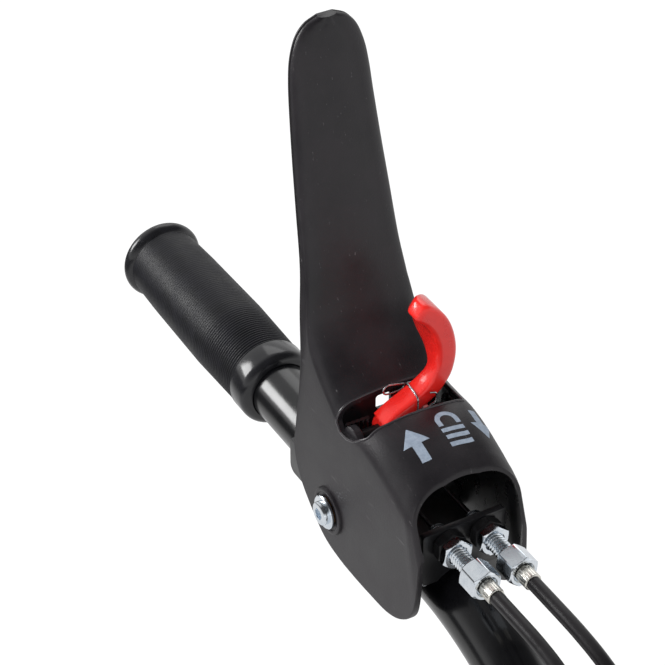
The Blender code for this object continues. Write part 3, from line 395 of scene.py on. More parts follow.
def curve_at(points: Sequence, place: float) -> np.ndarray:
    """Finds a point of the smooth curve through the given points.

    Args:
        points: The points that it passes through.
        place: Where along it, 2.5 being half way from the third to the fourth.

    Returns:
        The point.
    """
    points = np.array(points, float)
    ends = np.vstack([2 * points[0] - points[1], points, 2 * points[-1] - points[-2]])
    first = min(int(place), len(points) - 2)
    t = place - first
    a, b, c, d = ends[first : first + 4]
    return 0.5 * (2 * b + (c - a) * t + (2 * a - 5 * b + 4 * c - d) * t**2 + (3 * b - a - 3 * c + d) * t**3)


def smooth_line(points: Sequence, count: int) -> np.ndarray:
    """Spreads points evenly along the smooth curve through the given ones.

    Args:
        points: The points that the curve passes through.
        count: How many points to return.

    Returns:
        The points, one row each.
    """
    dense = np.array([curve_at(points, u) for u in np.linspace(0, len(points) - 1, 24 * len(points))])
    return evenly(dense, count)


def evenly(points: np.ndarray, count: int) -> np.ndarray:
    """Spreads points evenly along a broken line.

    Args:
        points: The line's points, one row each.
        count: How many points to return.

    Returns:
        The new points.
    """
    reach = np.concatenate([[0], np.cumsum(np.linalg.norm(np.diff(points, axis=0), axis=1))])
    at = np.linspace(0, reach[-1], count)
    return np.stack([np.interp(at, reach, points[:, k]) for k in range(points.shape[1])], axis=1)


def loft(rings: Sequence, closed: bool = False) -> bmesh.types.BMesh:
    """Joins rings of equal point counts with faces.

    Args:
        rings: The rings, each a list of points.
        closed: Whether the last ring joins the first. Otherwise both ends are capped.

    Returns:
        The mesh, in millimetres.
    """
    bm = bmesh.new()
    loops = [[bm.verts.new(point) for point in ring] for ring in rings]
    count = len(loops[0])
    for i in range(len(loops) if closed else len(loops) - 1):
        low, high = loops[i], loops[(i + 1) % len(loops)]
        for j in range(count):
            k = (j + 1) % count
            bm.faces.new((low[j], low[k], high[k], high[j]))
    if not closed:
        bm.faces.new(loops[0][::-1])
        bm.faces.new(loops[-1])
    return bm


def prism(outline: Sequence[tuple], low: float, high: float, axis: str = "X") -> bmesh.types.BMesh:
    """Extrudes an outline along an axis.

    Args:
        outline: Points whose two coordinates are the other axes, in X, Y, Z order.
        low: Where it starts on the axis.
        high: Where it ends.
        axis: "X", "Y" or "Z".

    Returns:
        The mesh.
    """
    at = "XYZ".index(axis)
    return loft([[(*p[:at], w, *p[at:]) for p in outline] for w in (low, high)])


def turned(profile: Sequence[tuple[float, Radius]], centre: Sequence[float], axis: Vector, sides: int,
           closed: bool = False) -> bmesh.types.BMesh:
    """Turns a profile round an axis.

    Args:
        profile: Pairs of a place along the axis and a radius.
        centre: The point that the places are measured from.
        axis: The axis, as a unit vector.
        sides: How many sides it has.
        closed: Whether the profile closes on itself, as a tube's or a ring's does.

    Returns:
        The mesh.
    """
    across = Y_AXIS if abs(axis.x) > 0.5 else X_AXIS
    up = across.cross(axis)
    angles = [2 * math.pi * k / sides for k in range(sides)]
    rings = []
    for along, radius in profile:
        foot = Vector(centre) + axis * along
        spread = [(radius(a) if callable(radius) else radius, a) for a in angles]
        rings.append([foot + (across * math.cos(a) + up * math.sin(a)) * r for r, a in spread])
    return loft(rings, closed)


def bar(centre: Sequence[float], low: float, high: float, radius: float, axis: Vector = X_AXIS,
        edge: float = 0.0) -> bmesh.types.BMesh:
    """Makes a round bar, with chamfered ends where an edge is given.

    Args:
        centre: The point that low and high are measured from.
        low: Where it starts.
        high: Where it ends.
        radius: Its radius.
        axis: Its axis.
        edge: The size of its end chamfers.

    Returns:
        The mesh.
    """
    profile = [(low, radius), (high, radius)]
    if edge:
        profile = [(low, radius - edge), (low + edge, radius), (high - edge, radius), (high, radius - edge)]
    return turned(profile, centre, axis, 48)


def hexagon(flats: float, turn: float, limit: float = math.inf) -> Callable[[float], float]:
    """Describes a hexagon's outline, as far as a round chamfer lets it reach.

    Args:
        flats: Its width across flats.
        turn: The angle of one corner, in degrees.
        limit: The chamfer's radius at this place along the bar.

    Returns:
        The radius for each angle in radians.
    """
    step = math.pi / 3
    return lambda a: min(flats / 2 / math.cos((a - math.radians(turn)) % step - step / 2), limit)


def hexagon_profile(low: float, high: float, flats: float, turn: float) -> list[tuple[float, Radius]]:
    """Lists a chamfered hexagon from its low face to its high face.

    Args:
        low: Where it starts.
        high: Where it ends.
        flats: Its width across flats.
        turn: The angle of one corner, in degrees.

    Returns:
        Pairs of a place and a radius for turned().
    """
    face, corner = HEX_FACE * flats, flats / math.sqrt(3)
    rise = (corner - face) * math.tan(math.radians(HEX_CHAMFER))
    shares = (0.0, 0.2, 0.4, 0.6, 0.8, 1.0)
    edges = [(rise * s, hexagon(flats, turn, face + (corner - face) * s + 1e-4)) for s in shares]
    return [(low + d, r) for d, r in edges] + [(high - d, r) for d, r in reversed(edges)]


def swept(points: Sequence, section: Sequence[tuple], closed: bool = False) -> bmesh.types.BMesh:
    """Carries a section along a route without twisting it.

    Args:
        points: The route.
        section: Offsets across and up from the route.
        closed: Whether the route closes on itself.

    Returns:
        The mesh.
    """
    points = [Vector(p) for p in points]
    count = len(points)
    rings, up = [], None
    for i, point in enumerate(points):
        after = points[(i + 1) % count] if closed else points[min(i + 1, count - 1)]
        before = points[i - 1] if closed else points[max(i - 1, 0)]
        along = (after - before).normalized()
        if up is None:
            up = along.orthogonal().normalized()
        up = (up - along * up.dot(along)).normalized()
        across = along.cross(up)
        rings.append([point + across * u + up * v for u, v in section])
    return loft(rings, closed)


def circle(radius: float, sides: int) -> list[tuple[float, float]]:
    """Returns the points of a circle round the origin."""
    return arc((0.0, 0.0), radius, 0.0, 360.0, sides)[:-1]


# Pieces


def make_object(name: str, bm: bmesh.types.BMesh, sharp: float = SHARP) -> bpy.types.Object:
    """Turns a mesh in millimetres into an object in the world.

    Args:
        name: The object's name.
        bm: The mesh, which is freed.
        sharp: Edges over this angle in degrees are shaded sharp.

    Returns:
        The object.
    """
    bmesh.ops.remove_doubles(bm, verts=bm.verts, dist=1e-4)
    bmesh.ops.recalc_face_normals(bm, faces=bm.faces)
    bmesh.ops.transform(bm, matrix=Matrix.Scale(MM, 4) @ Matrix.Translation(ORIGIN), verts=bm.verts)
    mesh = bpy.data.meshes.new(name)
    bm.to_mesh(mesh)
    bm.free()
    obj = bpy.data.objects.new(name, mesh)
    bpy.context.scene.collection.objects.link(obj)
    shade(obj, sharp)
    return obj


def shade(obj: bpy.types.Object, sharp: float = SHARP) -> None:
    """Shades a mesh smooth, apart from its sharp edges."""
    obj.data.shade_smooth()
    obj.data.set_sharp_from_angle(angle=math.radians(sharp))


def apply(obj: bpy.types.Object, kind: str, **settings: object) -> None:
    """Applies one modifier to an object's mesh.

    Args:
        obj: The object.
        kind: The modifier's type.
        **settings: Its properties.
    """
    modifier = obj.modifiers.new("shape", kind)
    for name, value in settings.items():
        setattr(modifier, name, value)
    graph = bpy.context.evaluated_depsgraph_get()
    mesh = bpy.data.meshes.new_from_object(obj.evaluated_get(graph))
    obj.modifiers.clear()
    old, obj.data = obj.data, mesh
    bpy.data.meshes.remove(old)
    shade(obj)


def combine(obj: bpy.types.Object, bm: bmesh.types.BMesh, how: Cut = Cut.AWAY,
            mark: bpy.types.Material | None = None) -> None:
    """Cuts a solid from an object, or joins it on.

    Args:
        obj: The object.
        bm: The solid in millimetres.
        how: Whether it is cut away or joined on.
        mark: A material for the faces that the solid leaves, to find them by.
    """
    helper = make_object("helper", bm)
    if mark:
        obj.data.materials.append(mark)
        for material in obj.data.materials:
            helper.data.materials.append(material)
        for polygon in helper.data.polygons:
            polygon.material_index = len(obj.data.materials) - 1
    apply(obj, "BOOLEAN", operation=how.value, solver="MANIFOLD", object=helper)
    bpy.data.objects.remove(helper)


def soften(obj: bpy.types.Object, width: float) -> None:
    """Rounds an object's sharp edges.

    Args:
        obj: The object.
        width: How wide the rounding is, in millimetres.
    """
    apply(obj, "BEVEL", width=width * MM, segments=2, limit_method="ANGLE", angle_limit=math.radians(SOFT),
          use_clamp_overlap=True)


def present(obj: bpy.types.Object, finish: Finish, body: Body, *nodes: str) -> bpy.types.Object:
    """Gives a piece its finish and its body, and hides the CAD nodes that it stands for.

    Args:
        obj: The piece.
        finish: Its finish.
        body: The body that it rides on.
        *nodes: The CAD nodes that it replaces.

    Returns:
        The piece.
    """
    obj.data.materials.clear()
    obj.data.materials.append(finish.material())
    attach(obj, body.value)
    if nodes:
        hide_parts(*nodes)
    LOG.info("%s: %s on %s", obj.name, finish.name, body.value)
    return obj


def make_curve(name: str, points: Sequence, radius: float, smooth: int = 6) -> bpy.types.Object:
    """Makes a round cord or wire as a curve of one open spline.

    Args:
        name: The object's name.
        points: Its centre line in millimetres.
        radius: Its radius.
        smooth: The bevel resolution.

    Returns:
        The object.
    """
    data = bpy.data.curves.new(name, "CURVE")
    data.dimensions = "3D"
    data.bevel_depth = radius * MM
    data.bevel_resolution = smooth
    data.use_fill_caps = True
    line = data.splines.new("POLY")
    line.points.add(len(points) - 1)
    for point, target in zip(points, line.points):
        target.co = (*((Vector(point) + ORIGIN) * MM), 1.0)
    obj = bpy.data.objects.new(name, data)
    bpy.context.scene.collection.objects.link(obj)
    return obj


# Studio


@dataclass
class Studio:
    """Pale floor, soft lamps and the camera at the photograph's angle."""

    camera_place: tuple[float, float, float] = (-472.0, -790.26, 773.76)
    right: tuple[float, float, float] = (0.87021, -0.49268, -0.00090)
    up: tuple[float, float, float] = (0.29352, 0.51697, 0.80411)
    forward: tuple[float, float, float] = (0.39570, 0.70001, -0.59448)
    focal_px: float = 2748.75
    image_px: float = 665.0
    sensor: float = 36.0
    clip: tuple[float, float] = (0.05, 30.0)  # in metres
    floor_z: float = -152.3
    floor_size: float = 9000.0
    floor_thickness: float = 20.0
    floor_grey: str = "#bcbcbc"
    floor_roughness: float = 0.9
    floor_specular: float = 0.1
    floor_glow: float = 1.25  # its own light in view, which brings it to white outside the shadow
    floor_share: float = 0.72  # share of that light in view
    mirrored_floor: float = 0.8  # what surfaces mirror of it
    dark_floor: float = 0.1  # what they mirror of it far behind on the left
    dark_way: tuple[float, float, float] = (-0.68, 0.73, 0.0)
    dark_reach: tuple[float, float] = (0.48, 0.66)  # where it turns dark that way, in metres
    sky: str = "#fbfcff"
    ambient: float = 0.75
    front_light: float = 0.7  # the ambient light from the front
    light_turn: tuple[float, float] = (-0.6, 0.3)  # from front to back, in the Y of a direction
    ceiling: float = 0.75  # what surfaces mirror overhead
    front_ceiling: float = 0.06  # what they mirror overhead at the front
    ceiling_turn: tuple[float, float] = (0.0, 0.6)  # from front to back, in the Y of a direction
    ceiling_rise: tuple[float, float] = (0.1, 0.5)  # from walls to ceiling, in the Z of a direction
    lamp_target: tuple[float, float, float] = (0.0, 20.0, 40.0)
    # Each lamp as its name, place, size, power and whether glossy surfaces mirror it.
    lamps: tuple = (("key", (-900.0, -120.0, 760.0), (700.0, 620.0), 9.0, False),
                    ("side_softbox", (-680.0, 860.0, 390.0), (400.0, 420.0), 6.2, True),
                    ("rear_panel", (540.0, 940.0, 840.0), (760.0, 560.0), 1.6, True),
                    ("fill", (950.0, -420.0, 520.0), (900.0, 700.0), 2.5, False))

    def build_camera(self) -> None:
        """Makes the camera and puts the view transform at Standard."""
        data = bpy.data.cameras.new("camera")
        data.sensor_width = self.sensor
        data.lens = self.focal_px / self.image_px * self.sensor
        data.clip_start, data.clip_end = self.clip
        camera = bpy.data.objects.new("camera", data)
        turn = Matrix((self.right, self.up, [-v for v in self.forward])).transposed().to_quaternion()
        camera.matrix_world = Matrix.LocRotScale((Vector(self.camera_place) + ORIGIN) * MM, turn, None)
        scene = bpy.context.scene
        scene.collection.objects.link(camera)
        scene.camera = camera
        scene.view_settings.view_transform = "Standard"

    def build_world(self) -> None:
        """Makes a world that is white in view, and dimmer towards the front as light and in reflections."""
        world = bpy.data.worlds.new("studio")
        world.use_nodes = True
        tree = world.node_tree
        tree.nodes.clear()
        ray = add_node(tree, "ShaderNodeLightPath").outputs
        mirrored = add_node(tree, "ShaderNodeMath", {0: ray["Is Glossy Ray"], 1: ray["Is Transmission Ray"]},
                            operation="MAXIMUM")
        way = add_node(tree, "ShaderNodeTexCoord").outputs["Generated"]
        split = add_node(tree, "ShaderNodeSeparateXYZ", {0: way}).outputs
        top = add_node(tree, "ShaderNodeMapRange",
                       {"Value": split["Y"], "From Min": self.ceiling_turn[0],
                        "From Max": self.ceiling_turn[1], "To Min": self.front_ceiling,
                        "To Max": self.ceiling})
        ceiling = add_node(tree, "ShaderNodeMapRange",
                           {"Value": split["Z"], "From Min": self.ceiling_rise[0],
                            "From Max": self.ceiling_rise[1], "To Min": 1.0, "To Max": top.outputs["Result"]})
        light = add_node(tree, "ShaderNodeMapRange",
                         {"Value": split["Y"], "From Min": self.light_turn[0], "From Max": self.light_turn[1],
                          "To Min": self.front_light, "To Max": self.ambient})
        soft, room, white = (add_node(tree, "ShaderNodeBackground", {"Color": colour, "Strength": strength})
                             for colour, strength in ((linear(self.sky), light.outputs["Result"]),
                                                      (linear("#ffffff"), ceiling.outputs["Result"]),
                                                      (linear("#ffffff"), 1.0)))
        unseen = add_node(tree, "ShaderNodeMixShader",
                          {0: mirrored.outputs["Value"], 1: soft.outputs["Background"],
                           2: room.outputs["Background"]})
        mixed = add_node(tree, "ShaderNodeMixShader",
                         {0: ray["Is Camera Ray"], 1: unseen.outputs["Shader"],
                          2: white.outputs["Background"]})
        add_node(tree, "ShaderNodeOutputWorld", {"Surface": mixed.outputs["Shader"]})
        bpy.context.scene.world = world

    def build_floor(self) -> None:
        """Makes the pale floor. It stays white in view, apart from the object's shadow."""
        half, top = self.floor_size / 2, self.floor_z
        slab = prism(rectangle(-half, -half, half, half), top - self.floor_thickness, top, "Z")
        floor = make_object("floor", slab)
        material = bpy.data.materials.new("floor_paper")
        material.use_nodes = True
        tree = material.node_tree
        shader = tree.nodes["Principled BSDF"]
        shader.inputs["Base Color"].default_value = linear(self.floor_grey)
        shader.inputs["Roughness"].default_value = self.floor_roughness
        shader.inputs["Specular IOR Level"].default_value = self.floor_specular
        ray = add_node(tree, "ShaderNodeLightPath").outputs
        share = add_node(tree, "ShaderNodeMath",
                         {0: ray["Is Camera Ray"], 1: self.floor_share, 2: ray["Is Glossy Ray"]},
                         operation="MULTIPLY_ADD")
        place = add_node(tree, "ShaderNodeTexCoord").outputs["Object"]
        behind = add_node(tree, "ShaderNodeVectorMath", {0: place, 1: self.dark_way}, operation="DOT_PRODUCT")
        shift = add_node(tree, "ShaderNodeMapRange",
                         {"Value": behind.outputs["Value"], "From Min": self.dark_reach[0],
                          "From Max": self.dark_reach[1], "To Min": self.mirrored_floor - self.floor_glow,
                          "To Max": self.dark_floor - self.floor_glow})
        level = add_node(tree, "ShaderNodeMath",
                         {0: ray["Is Glossy Ray"], 1: shift.outputs["Result"], 2: self.floor_glow},
                         operation="MULTIPLY_ADD")
        white = add_node(tree, "ShaderNodeEmission", {"Strength": level.outputs["Value"]})
        mixed = add_node(tree, "ShaderNodeMixShader",
                         {0: share.outputs["Value"], 1: shader.outputs["BSDF"], 2: white.outputs["Emission"]})
        tree.links.new(mixed.outputs["Shader"], tree.nodes["Material Output"].inputs["Surface"])
        floor.data.materials.append(material)

    def build_lamps(self) -> None:
        """Makes the soft key and fill, the softbox in the tube's highlight and the panel in the top faces."""
        for name, place, (wide, tall), power, mirrored in self.lamps:
            data = bpy.data.lights.new(name, "AREA")
            data.shape = "RECTANGLE"
            data.size, data.size_y = wide * MM, tall * MM
            data.energy = power
            lamp = bpy.data.objects.new(name, data)
            lamp.visible_glossy = mirrored
            turn = (Vector(self.lamp_target) - Vector(place)).to_track_quat("-Z", "Y")
            lamp.matrix_world = Matrix.LocRotScale((Vector(place) + ORIGIN) * MM, turn, None)
            bpy.context.scene.collection.objects.link(lamp)


# Handlebar


@dataclass
class Handlebar:
    """The bent steel tube and its rubber grip."""

    radius: float = 14.3
    wall: float = 2.0
    far_y: float = 214.0
    bend_start_y: float = -50.0
    bend_r: float = 135.0
    bend_deg: float = 40.0
    lower_length: float = 170.0
    bolt_r: float = 4.25
    bolt_places: tuple[float, float] = (22.0, 52.0)  # from the tube's lower end
    grip_front: float = 93.2
    collar_r: float = 19.3
    collar_length: float = 14.0
    nose: float = 4.6  # rounding of the collar's front
    waist_r: float = 18.8
    belly_r: float = 19.6
    neck_r: float = 18.0
    bead_r: float = 20.1
    bead_roll: float = 4.3  # rounding of the bead
    bead_length: float = 8.5
    end_wall: float = 5.2
    rib_pitch: float = 1.5
    rib_depth: float = 0.42
    # Share of that depth at shares of the sleeve's length.
    rib_crispness: tuple = ((0.0, 1.0), (0.14, 0.9), (0.3, 0.35), (0.75, 0.25), (0.9, 0.2))
    seam: float = 0.1  # how far before the collar's full length it meets the sleeve

    def lower_direction(self) -> Vector:
        """Returns the direction of the straight lower tube, away from the grip."""
        angle = math.radians(self.bend_deg)
        return Vector((0.0, -math.cos(angle), -math.sin(angle)))

    def lower_point(self, along: float, x: float = 0.0, out: float = 0.0) -> Vector:
        """Finds a point by the straight lower tube.

        Args:
            along: How far it lies from the bend's end.
            x: Its place across.
            out: How far it lies square to the tube, on its upper side.

        Returns:
            The point.
        """
        angle = math.radians(self.bend_deg)
        start = Vector((x, self.bend_start_y - self.bend_r * math.sin(angle),
                        self.bend_r * (math.cos(angle) - 1)))
        direction = self.lower_direction()
        return start + direction * along + Vector((0.0, direction.z, -direction.y)) * out

    def build(self) -> None:
        """Makes the tube and the grip."""
        route = [(self.far_y, 0.0)]
        route += arc((self.bend_start_y, -self.bend_r), self.bend_r, 90, 90 + self.bend_deg, 48)
        end = self.lower_point(self.lower_length)
        route.append((end.y, end.z))
        rings = []
        for radius, line in ((self.radius, route), (self.radius - self.wall, route[::-1])):
            for i, (y, z) in enumerate(line):
                after, before = line[min(i + 1, len(line) - 1)], line[max(i - 1, 0)]
                along = Vector((0.0, after[0] - before[0], after[1] - before[1])).normalized()
                up = X_AXIS.cross(along) * (1 if radius == self.radius else -1)
                rings.append([Vector((0.0, y, z)) + X_AXIS * u + up * v for u, v in circle(radius, 96)])
        tube = make_object("steel_tube", loft(rings, closed=True))
        for place in self.bolt_places:
            combine(tube, bar(self.lower_point(self.lower_length - place), -30.0, 30.0, self.bolt_r))
        present(tube, TUBE_PAINT, Body.HANDLEBAR, "handlebar_tube")
        for name, profile, finish in (("grip_sleeve", self.sleeve_profile(), GRIP_RUBBER),
                                      ("grip_collar", self.collar_profile(), SMOOTH_RUBBER),
                                      ("grip_bead", self.bead_profile(), SMOOTH_RUBBER)):
            mesh = turned(profile, (0, 0, 0), Y_AXIS, 96, closed=True)
            present(make_object(name, mesh, sharp=50.0), finish, Body.HANDLEBAR, "grip")

    def sleeve_ends(self) -> tuple[float, float, float]:
        """Returns where the ribbed sleeve starts and ends, and the closed end of the grip."""
        end = self.far_y + self.end_wall
        return self.grip_front + self.collar_length, end - self.bead_length, end

    def collar_profile(self) -> list[tuple[float, float]]:
        """Returns the smooth collar's profile, with its rounded nose against the tube."""
        bore, (low, _, _) = self.radius + GAP, self.sleeve_ends()
        front, roll = self.grip_front, self.nose
        nose = [(front + roll * (1 - math.sin(a)), self.collar_r - roll * (1 - math.cos(a)))
                for a in np.radians(np.linspace(90, 0, 9))]
        return [(front + 0.3, bore), *nose, (low - 0.7, self.collar_r),
                (low - 0.3, self.collar_r - 0.15), (low - self.seam, self.collar_r - 0.5),
                (low - self.seam, bore)]

    def sleeve_profile(self) -> list[tuple[float, float]]:
        """Returns the ribbed sleeve's profile, its ribs crisp by the collar and shallow in the palm."""
        bore, (low, high, _) = self.radius + GAP, self.sleeve_ends()
        ribs = round((high - low) / self.rib_pitch)
        crowns = ((0.0, self.waist_r), (0.35, self.belly_r), (0.8, self.waist_r), (1.0, self.neck_r))
        profile = [(low - self.seam, bore)]
        for place in np.arange(0, ribs + 0.01, 1 / 8):
            share = place / ribs
            crown, crisp = (float(np.interp(share, *zip(*line))) for line in (crowns, self.rib_crispness))
            dip = (1 - abs(math.sin(math.pi * place)) ** 0.7) * (self.rib_depth * crisp)
            profile.append((low - self.seam + share * (high - low + self.seam), crown - dip))
        return [*profile, (high, bore)]

    def bead_profile(self) -> list[tuple[float, float]]:
        """Returns the closed end's profile, from the neck over the bead to the middle."""
        bore, (_, high, end) = self.radius + GAP, self.sleeve_ends()
        roll = self.bead_roll
        bead = [(end - 4.5 - roll * math.cos(a), self.bead_r - roll + roll * math.sin(a))
                for a in np.radians(np.linspace(38, 160, 18))]
        return [(high - 0.05, bore), (high - 0.05, self.neck_r - 0.15),
                *bead, (end - 0.2, self.bead_r - 7.4), (end, 5.0), (end, 1.0), (self.far_y + GAP, 0.8),
                (self.far_y + GAP, bore)]


# Bracket


@dataclass
class ControlBracket:
    """The saddle of pressed sheet with its ears, arm lugs and the plate that the adjusters screw into."""

    web_z: float = 14.6
    ear_front: float = -24.0
    ear_back: float = 41.0
    ear_low: float = 0.5
    plate_half: float = 20.0
    plate_low: float = 12.0
    plate_top: float = 38.5
    arch_r: float = 18.1
    arch_top: float = 17.0
    strip_half: float = 19.6
    lug_x: float = 14.55
    pin_hole_r: float = 2.55
    hole_r: float = 4.3
    edge: float = 0.5
    highlight_edge_r: float = 0.3

    def build(self) -> None:
        """Makes the bracket and the painted highlight along its plate's edge."""
        top, out = self.web_z + SHEET, EAR_IN + SHEET
        cheek = rounded([(self.ear_front, self.ear_low + 6), (self.ear_front + 14, self.ear_low),
                         (self.ear_back, self.ear_low), (self.ear_back, top), (self.ear_front, top)],
                        (2, 6, 4, 0, 0), 8)
        bracket = make_object("pressed_bracket", prism(cheek, -out, out))
        inner = rounded(rectangle(-EAR_IN, self.ear_low - 5, EAR_IN, self.web_z), (0, 0, 2, 2))
        combine(bracket, prism(inner, self.ear_front - 5, self.ear_back + 5, "Y"))
        plate = self.plate_outline()
        combine(bracket, prism(plate, PLATE_Y, PLATE_Y + SHEET, "Y"), Cut.JOIN)
        strip = rectangle(-self.strip_half, self.web_z, self.strip_half, top - 0.1)
        combine(bracket, prism(strip, PLATE_Y + 1.0, self.ear_front + 1.0, "Y"), Cut.JOIN)
        y, z = ARM_PIN
        lug = rounded([(y - 6, top - 1), (y + 6, top - 1), (y + 4.5, z + 4.5), (y - 4.5, z + 4.5)],
                      (0, 0, 4, 4), 8)
        for side in Side:
            low, high = side.stretch(self.lug_x, self.lug_x + SHEET)
            combine(bracket, prism(lug, low, high), Cut.JOIN)
            combine(bracket, bar((0, y, z), low - 2, high + 2, self.pin_hole_r))
            hole = (side.value * CABLE_X, PLATE_Y, CABLE_Z)
            combine(bracket, bar(hole, -5, SHEET + 5, self.hole_r, Y_AXIS))
            combine(bracket, bar((0, 0, PIVOT_Z), *side.stretch(EAR_IN - 2, out + 2), self.hole_r))
        soften(bracket, self.edge)
        present(bracket, SHEET_PAINT, Body.HANDLEBAR, "control_bracket")
        self.build_edge_highlight(plate)

    def plate_outline(self) -> list[tuple[float, float]]:
        """Returns the plate's outline, with the arch that clears the tube."""
        half = self.plate_half
        centre = self.arch_top - self.arch_r
        foot = math.sqrt(self.arch_r**2 - (self.plate_low - centre) ** 2)
        angle = math.degrees(math.asin((self.plate_low - centre) / self.arch_r))
        right = rounded([(foot, self.plate_low), (half, self.plate_low), (half, self.plate_top),
                         (-half, self.plate_top), (-half, self.plate_low), (-foot, self.plate_low)],
                        (0, 1.8, 1.5, 1.5, 1.8, 0))
        return right + arc((0.0, centre), self.arch_r, 180 - angle, angle, 24)[1:-1]

    def build_edge_highlight(self, plate: list[tuple[float, float]]) -> None:
        """Makes the bright steel sliver along the plate's lower left edge, a painted highlight.

        Args:
            plate: The plate's outline.
        """
        left = [(x, z) for x, z in plate if x < -self.plate_half + 2.5 and z < self.plate_top - 8]
        line = evenly(np.array([(x, PLATE_Y + 0.12, z) for x, z in left]), 30)
        edge = make_object("plate_edge_highlight", swept(line, circle(self.highlight_edge_r, 10)))
        present(edge, PLATE_EDGE_HIGHLIGHT, Body.HANDLEBAR)


# Cables


@dataclass
class CableLine:
    """One cable from its adjuster on the plate to the fitting at its far end."""

    side: Side
    handlebar: Handlebar
    nut_flats: float = 13.0
    nut_gap: float = 0.12  # between a nut's bore and the thread
    weld_t: float = 5.0
    lock_t: float = 4.0
    shown: float = 11.0  # length of thread between lock nut and hexagon
    hex_t: float = 11.0
    behind: float = 6.0  # how far the thread stands out behind the plate
    thread_r: float = 4.0
    thread_pitch: float = 1.55  # drawn coarser than the real 1.25, so that the turns show
    thread_depth: float = 0.95  # and deeper than the real 0.77
    thread_chamfer: float = 0.75
    turn: float = 20.0  # angle of a corner of the hexagons, in degrees
    weld_turn: float = 8.0  # how much further the weld nut is turned
    ferrule_r: float = 4.0
    ferrule_t: float = 9.2
    ferrule_seat: float = 2.2
    seat_gap: float = 0.55
    flutes: int = 12
    flute_depth: float = 0.3
    sheath_r: float = 3.2
    coil_r: float = 34.0
    coil_step: float = 7.0
    coil_loops: int = 5
    end_wire: float = 34.0  # bare wire between the far barrel and the nipple
    nipple_r: float = 3.0
    nipple_half: float = 4.5
    length: float = 1241.0
    # The sheath's route from its ferrule to its coil, on the right side.
    route: tuple = ((8.85, -118.0, 31.5), (8.9, -136.0, 31.2), (9.2, -153.0, 29.0), (10.2, -168.5, 23.0),
                    (11.8, -181.5, 12.5), (13.7, -191.5, -3.0), (15.5, -198.0, -22.0), (16.9, -201.4, -44.0),
                    (17.7, -202.6, -66.0))

    def stations(self) -> tuple[float, float, float, float]:
        """Returns where the weld nut, lock nut and hexagon start, and where the hexagon ends."""
        weld = PLATE_Y - GAP - self.weld_t
        lock = weld - GAP - self.lock_t
        back = lock - self.shown
        return weld, lock, back, back - self.hex_t

    def start_y(self) -> float:
        """Returns where the sheath meets its ferrule."""
        return self.stations()[3] - (self.ferrule_t - self.ferrule_seat) - GAP

    def coil_outer(self) -> float:
        """Returns the radius at which the coil starts and ends."""
        return self.coil_r + self.coil_step * self.turns() / 4

    def turns(self) -> float:
        """Returns the coil's turns, which end where it runs along the tube."""
        return self.coil_loops - (90 - self.handlebar.bend_deg) / 360

    def layer_x(self, layer: float) -> float:
        """Returns how far a layer of the coil lies from the tube's centre."""
        return self.handlebar.radius + GAP + self.sheath_r + layer * self.coil_step

    def centre_line(self) -> list[tuple[float, float, float]]:
        """Returns the sheath's whole centre line, from its ferrule through its coil."""
        sign, turns = self.side.value, self.turns()
        centre = self.handlebar.lower_point(COIL_ALONG, 0.0, -self.coil_r)
        coil = []
        for turn in np.linspace(0, turns, round(turns * 24) + 1):
            radius = self.coil_outer() - self.coil_step * min(turn, turns - turn)
            climb = min(max(2 * (turn - turns / 2) + 0.5, 0.0), 1.0)
            angle = math.pi + 2 * math.pi * turn
            coil.append((self.layer_x(climb * climb * (3 - 2 * climb)), centre.y + radius * math.cos(angle),
                         centre.z + radius * math.sin(angle)))
        first = coil[0]
        last = self.handlebar.lower_point(COIL_ALONG + 2 * self.sheath_r, self.layer_x(1),
                                          self.coil_outer() - self.coil_r)
        points = [(CABLE_X, self.start_y(), CABLE_Z), *self.route,
                  (first[0], first[1], first[2] + 2 * self.sheath_r), *coil, tuple(last)]
        fine = [curve_at(points, u) for u in np.linspace(0, len(points) - 1, 4 * (len(points) - 1) + 1)]
        return [(sign * x, y, z) for x, y, z in fine]

    def build_end(self) -> bpy.types.Object:
        """Returns the crimped barrel, bare wire and nipple at the cable's far end, as one piece."""
        axis = self.handlebar.lower_direction()
        x, out = self.side.value * self.layer_x(1), self.coil_outer() - self.coil_r
        start = self.handlebar.lower_point(COIL_ALONG + 2 * self.sheath_r + GAP, x, out)
        barrel = turned(self.barrel_profile(0.0, self.ferrule_t), start, axis, 72)
        end = make_object(self.side.label("cable_fitting"), barrel)
        tip = self.ferrule_t + self.end_wire
        strand = [(a, WIRE_R) for a in np.linspace(self.ferrule_t - 1.0, tip, 3)]
        combine(end, turned(strand, start, axis, 24), Cut.JOIN)
        nipple = bar(start + axis * tip, -self.nipple_half, self.nipple_half, self.nipple_r, edge=0.5)
        combine(end, nipple, Cut.JOIN)
        return present(end, CRIMPED_ZINC, Body.HANDLEBAR, self.side.label("cable_end"))

    def barrel_profile(self, low: float, high: float) -> list[tuple[float, Radius]]:
        """Lists a crimped barrel with flutes pressed into it.

        Args:
            low: Where it starts.
            high: Where it ends.

        Returns:
            Pairs of a place and a radius for turned().
        """
        radius = self.ferrule_r

        def fluted(depth: float) -> Callable[[float], float]:
            """Returns the barrel's outline where its flutes have the given depth."""
            return lambda a: radius - 0.05 - depth * (0.5 - 0.5 * math.cos(self.flutes * a)) ** 4

        edge = [(0.0, radius - 0.8), (0.15, radius - 0.3), (0.4, fluted(0.05)),
                (0.8, fluted(self.flute_depth))]
        return [(low + d, r) for d, r in edge] + [(high - d, r) for d, r in reversed(edge)]

    def build_cord(self, extras: list[bpy.types.Object]) -> None:
        """Makes the sheath as one round curve.

        Args:
            extras: The separate pieces on it; not used.
        """
        name = self.side.label("sheath")
        cord = make_curve(name, self.centre_line(), self.sheath_r)
        present(cord, SHEATH, Body.HANDLEBAR, self.side.label("cable"), self.side.label("cable_coil"))
        leaves = (Vector((self.side.value * CABLE_X, self.start_y(), CABLE_Z)) + ORIGIN) * MM

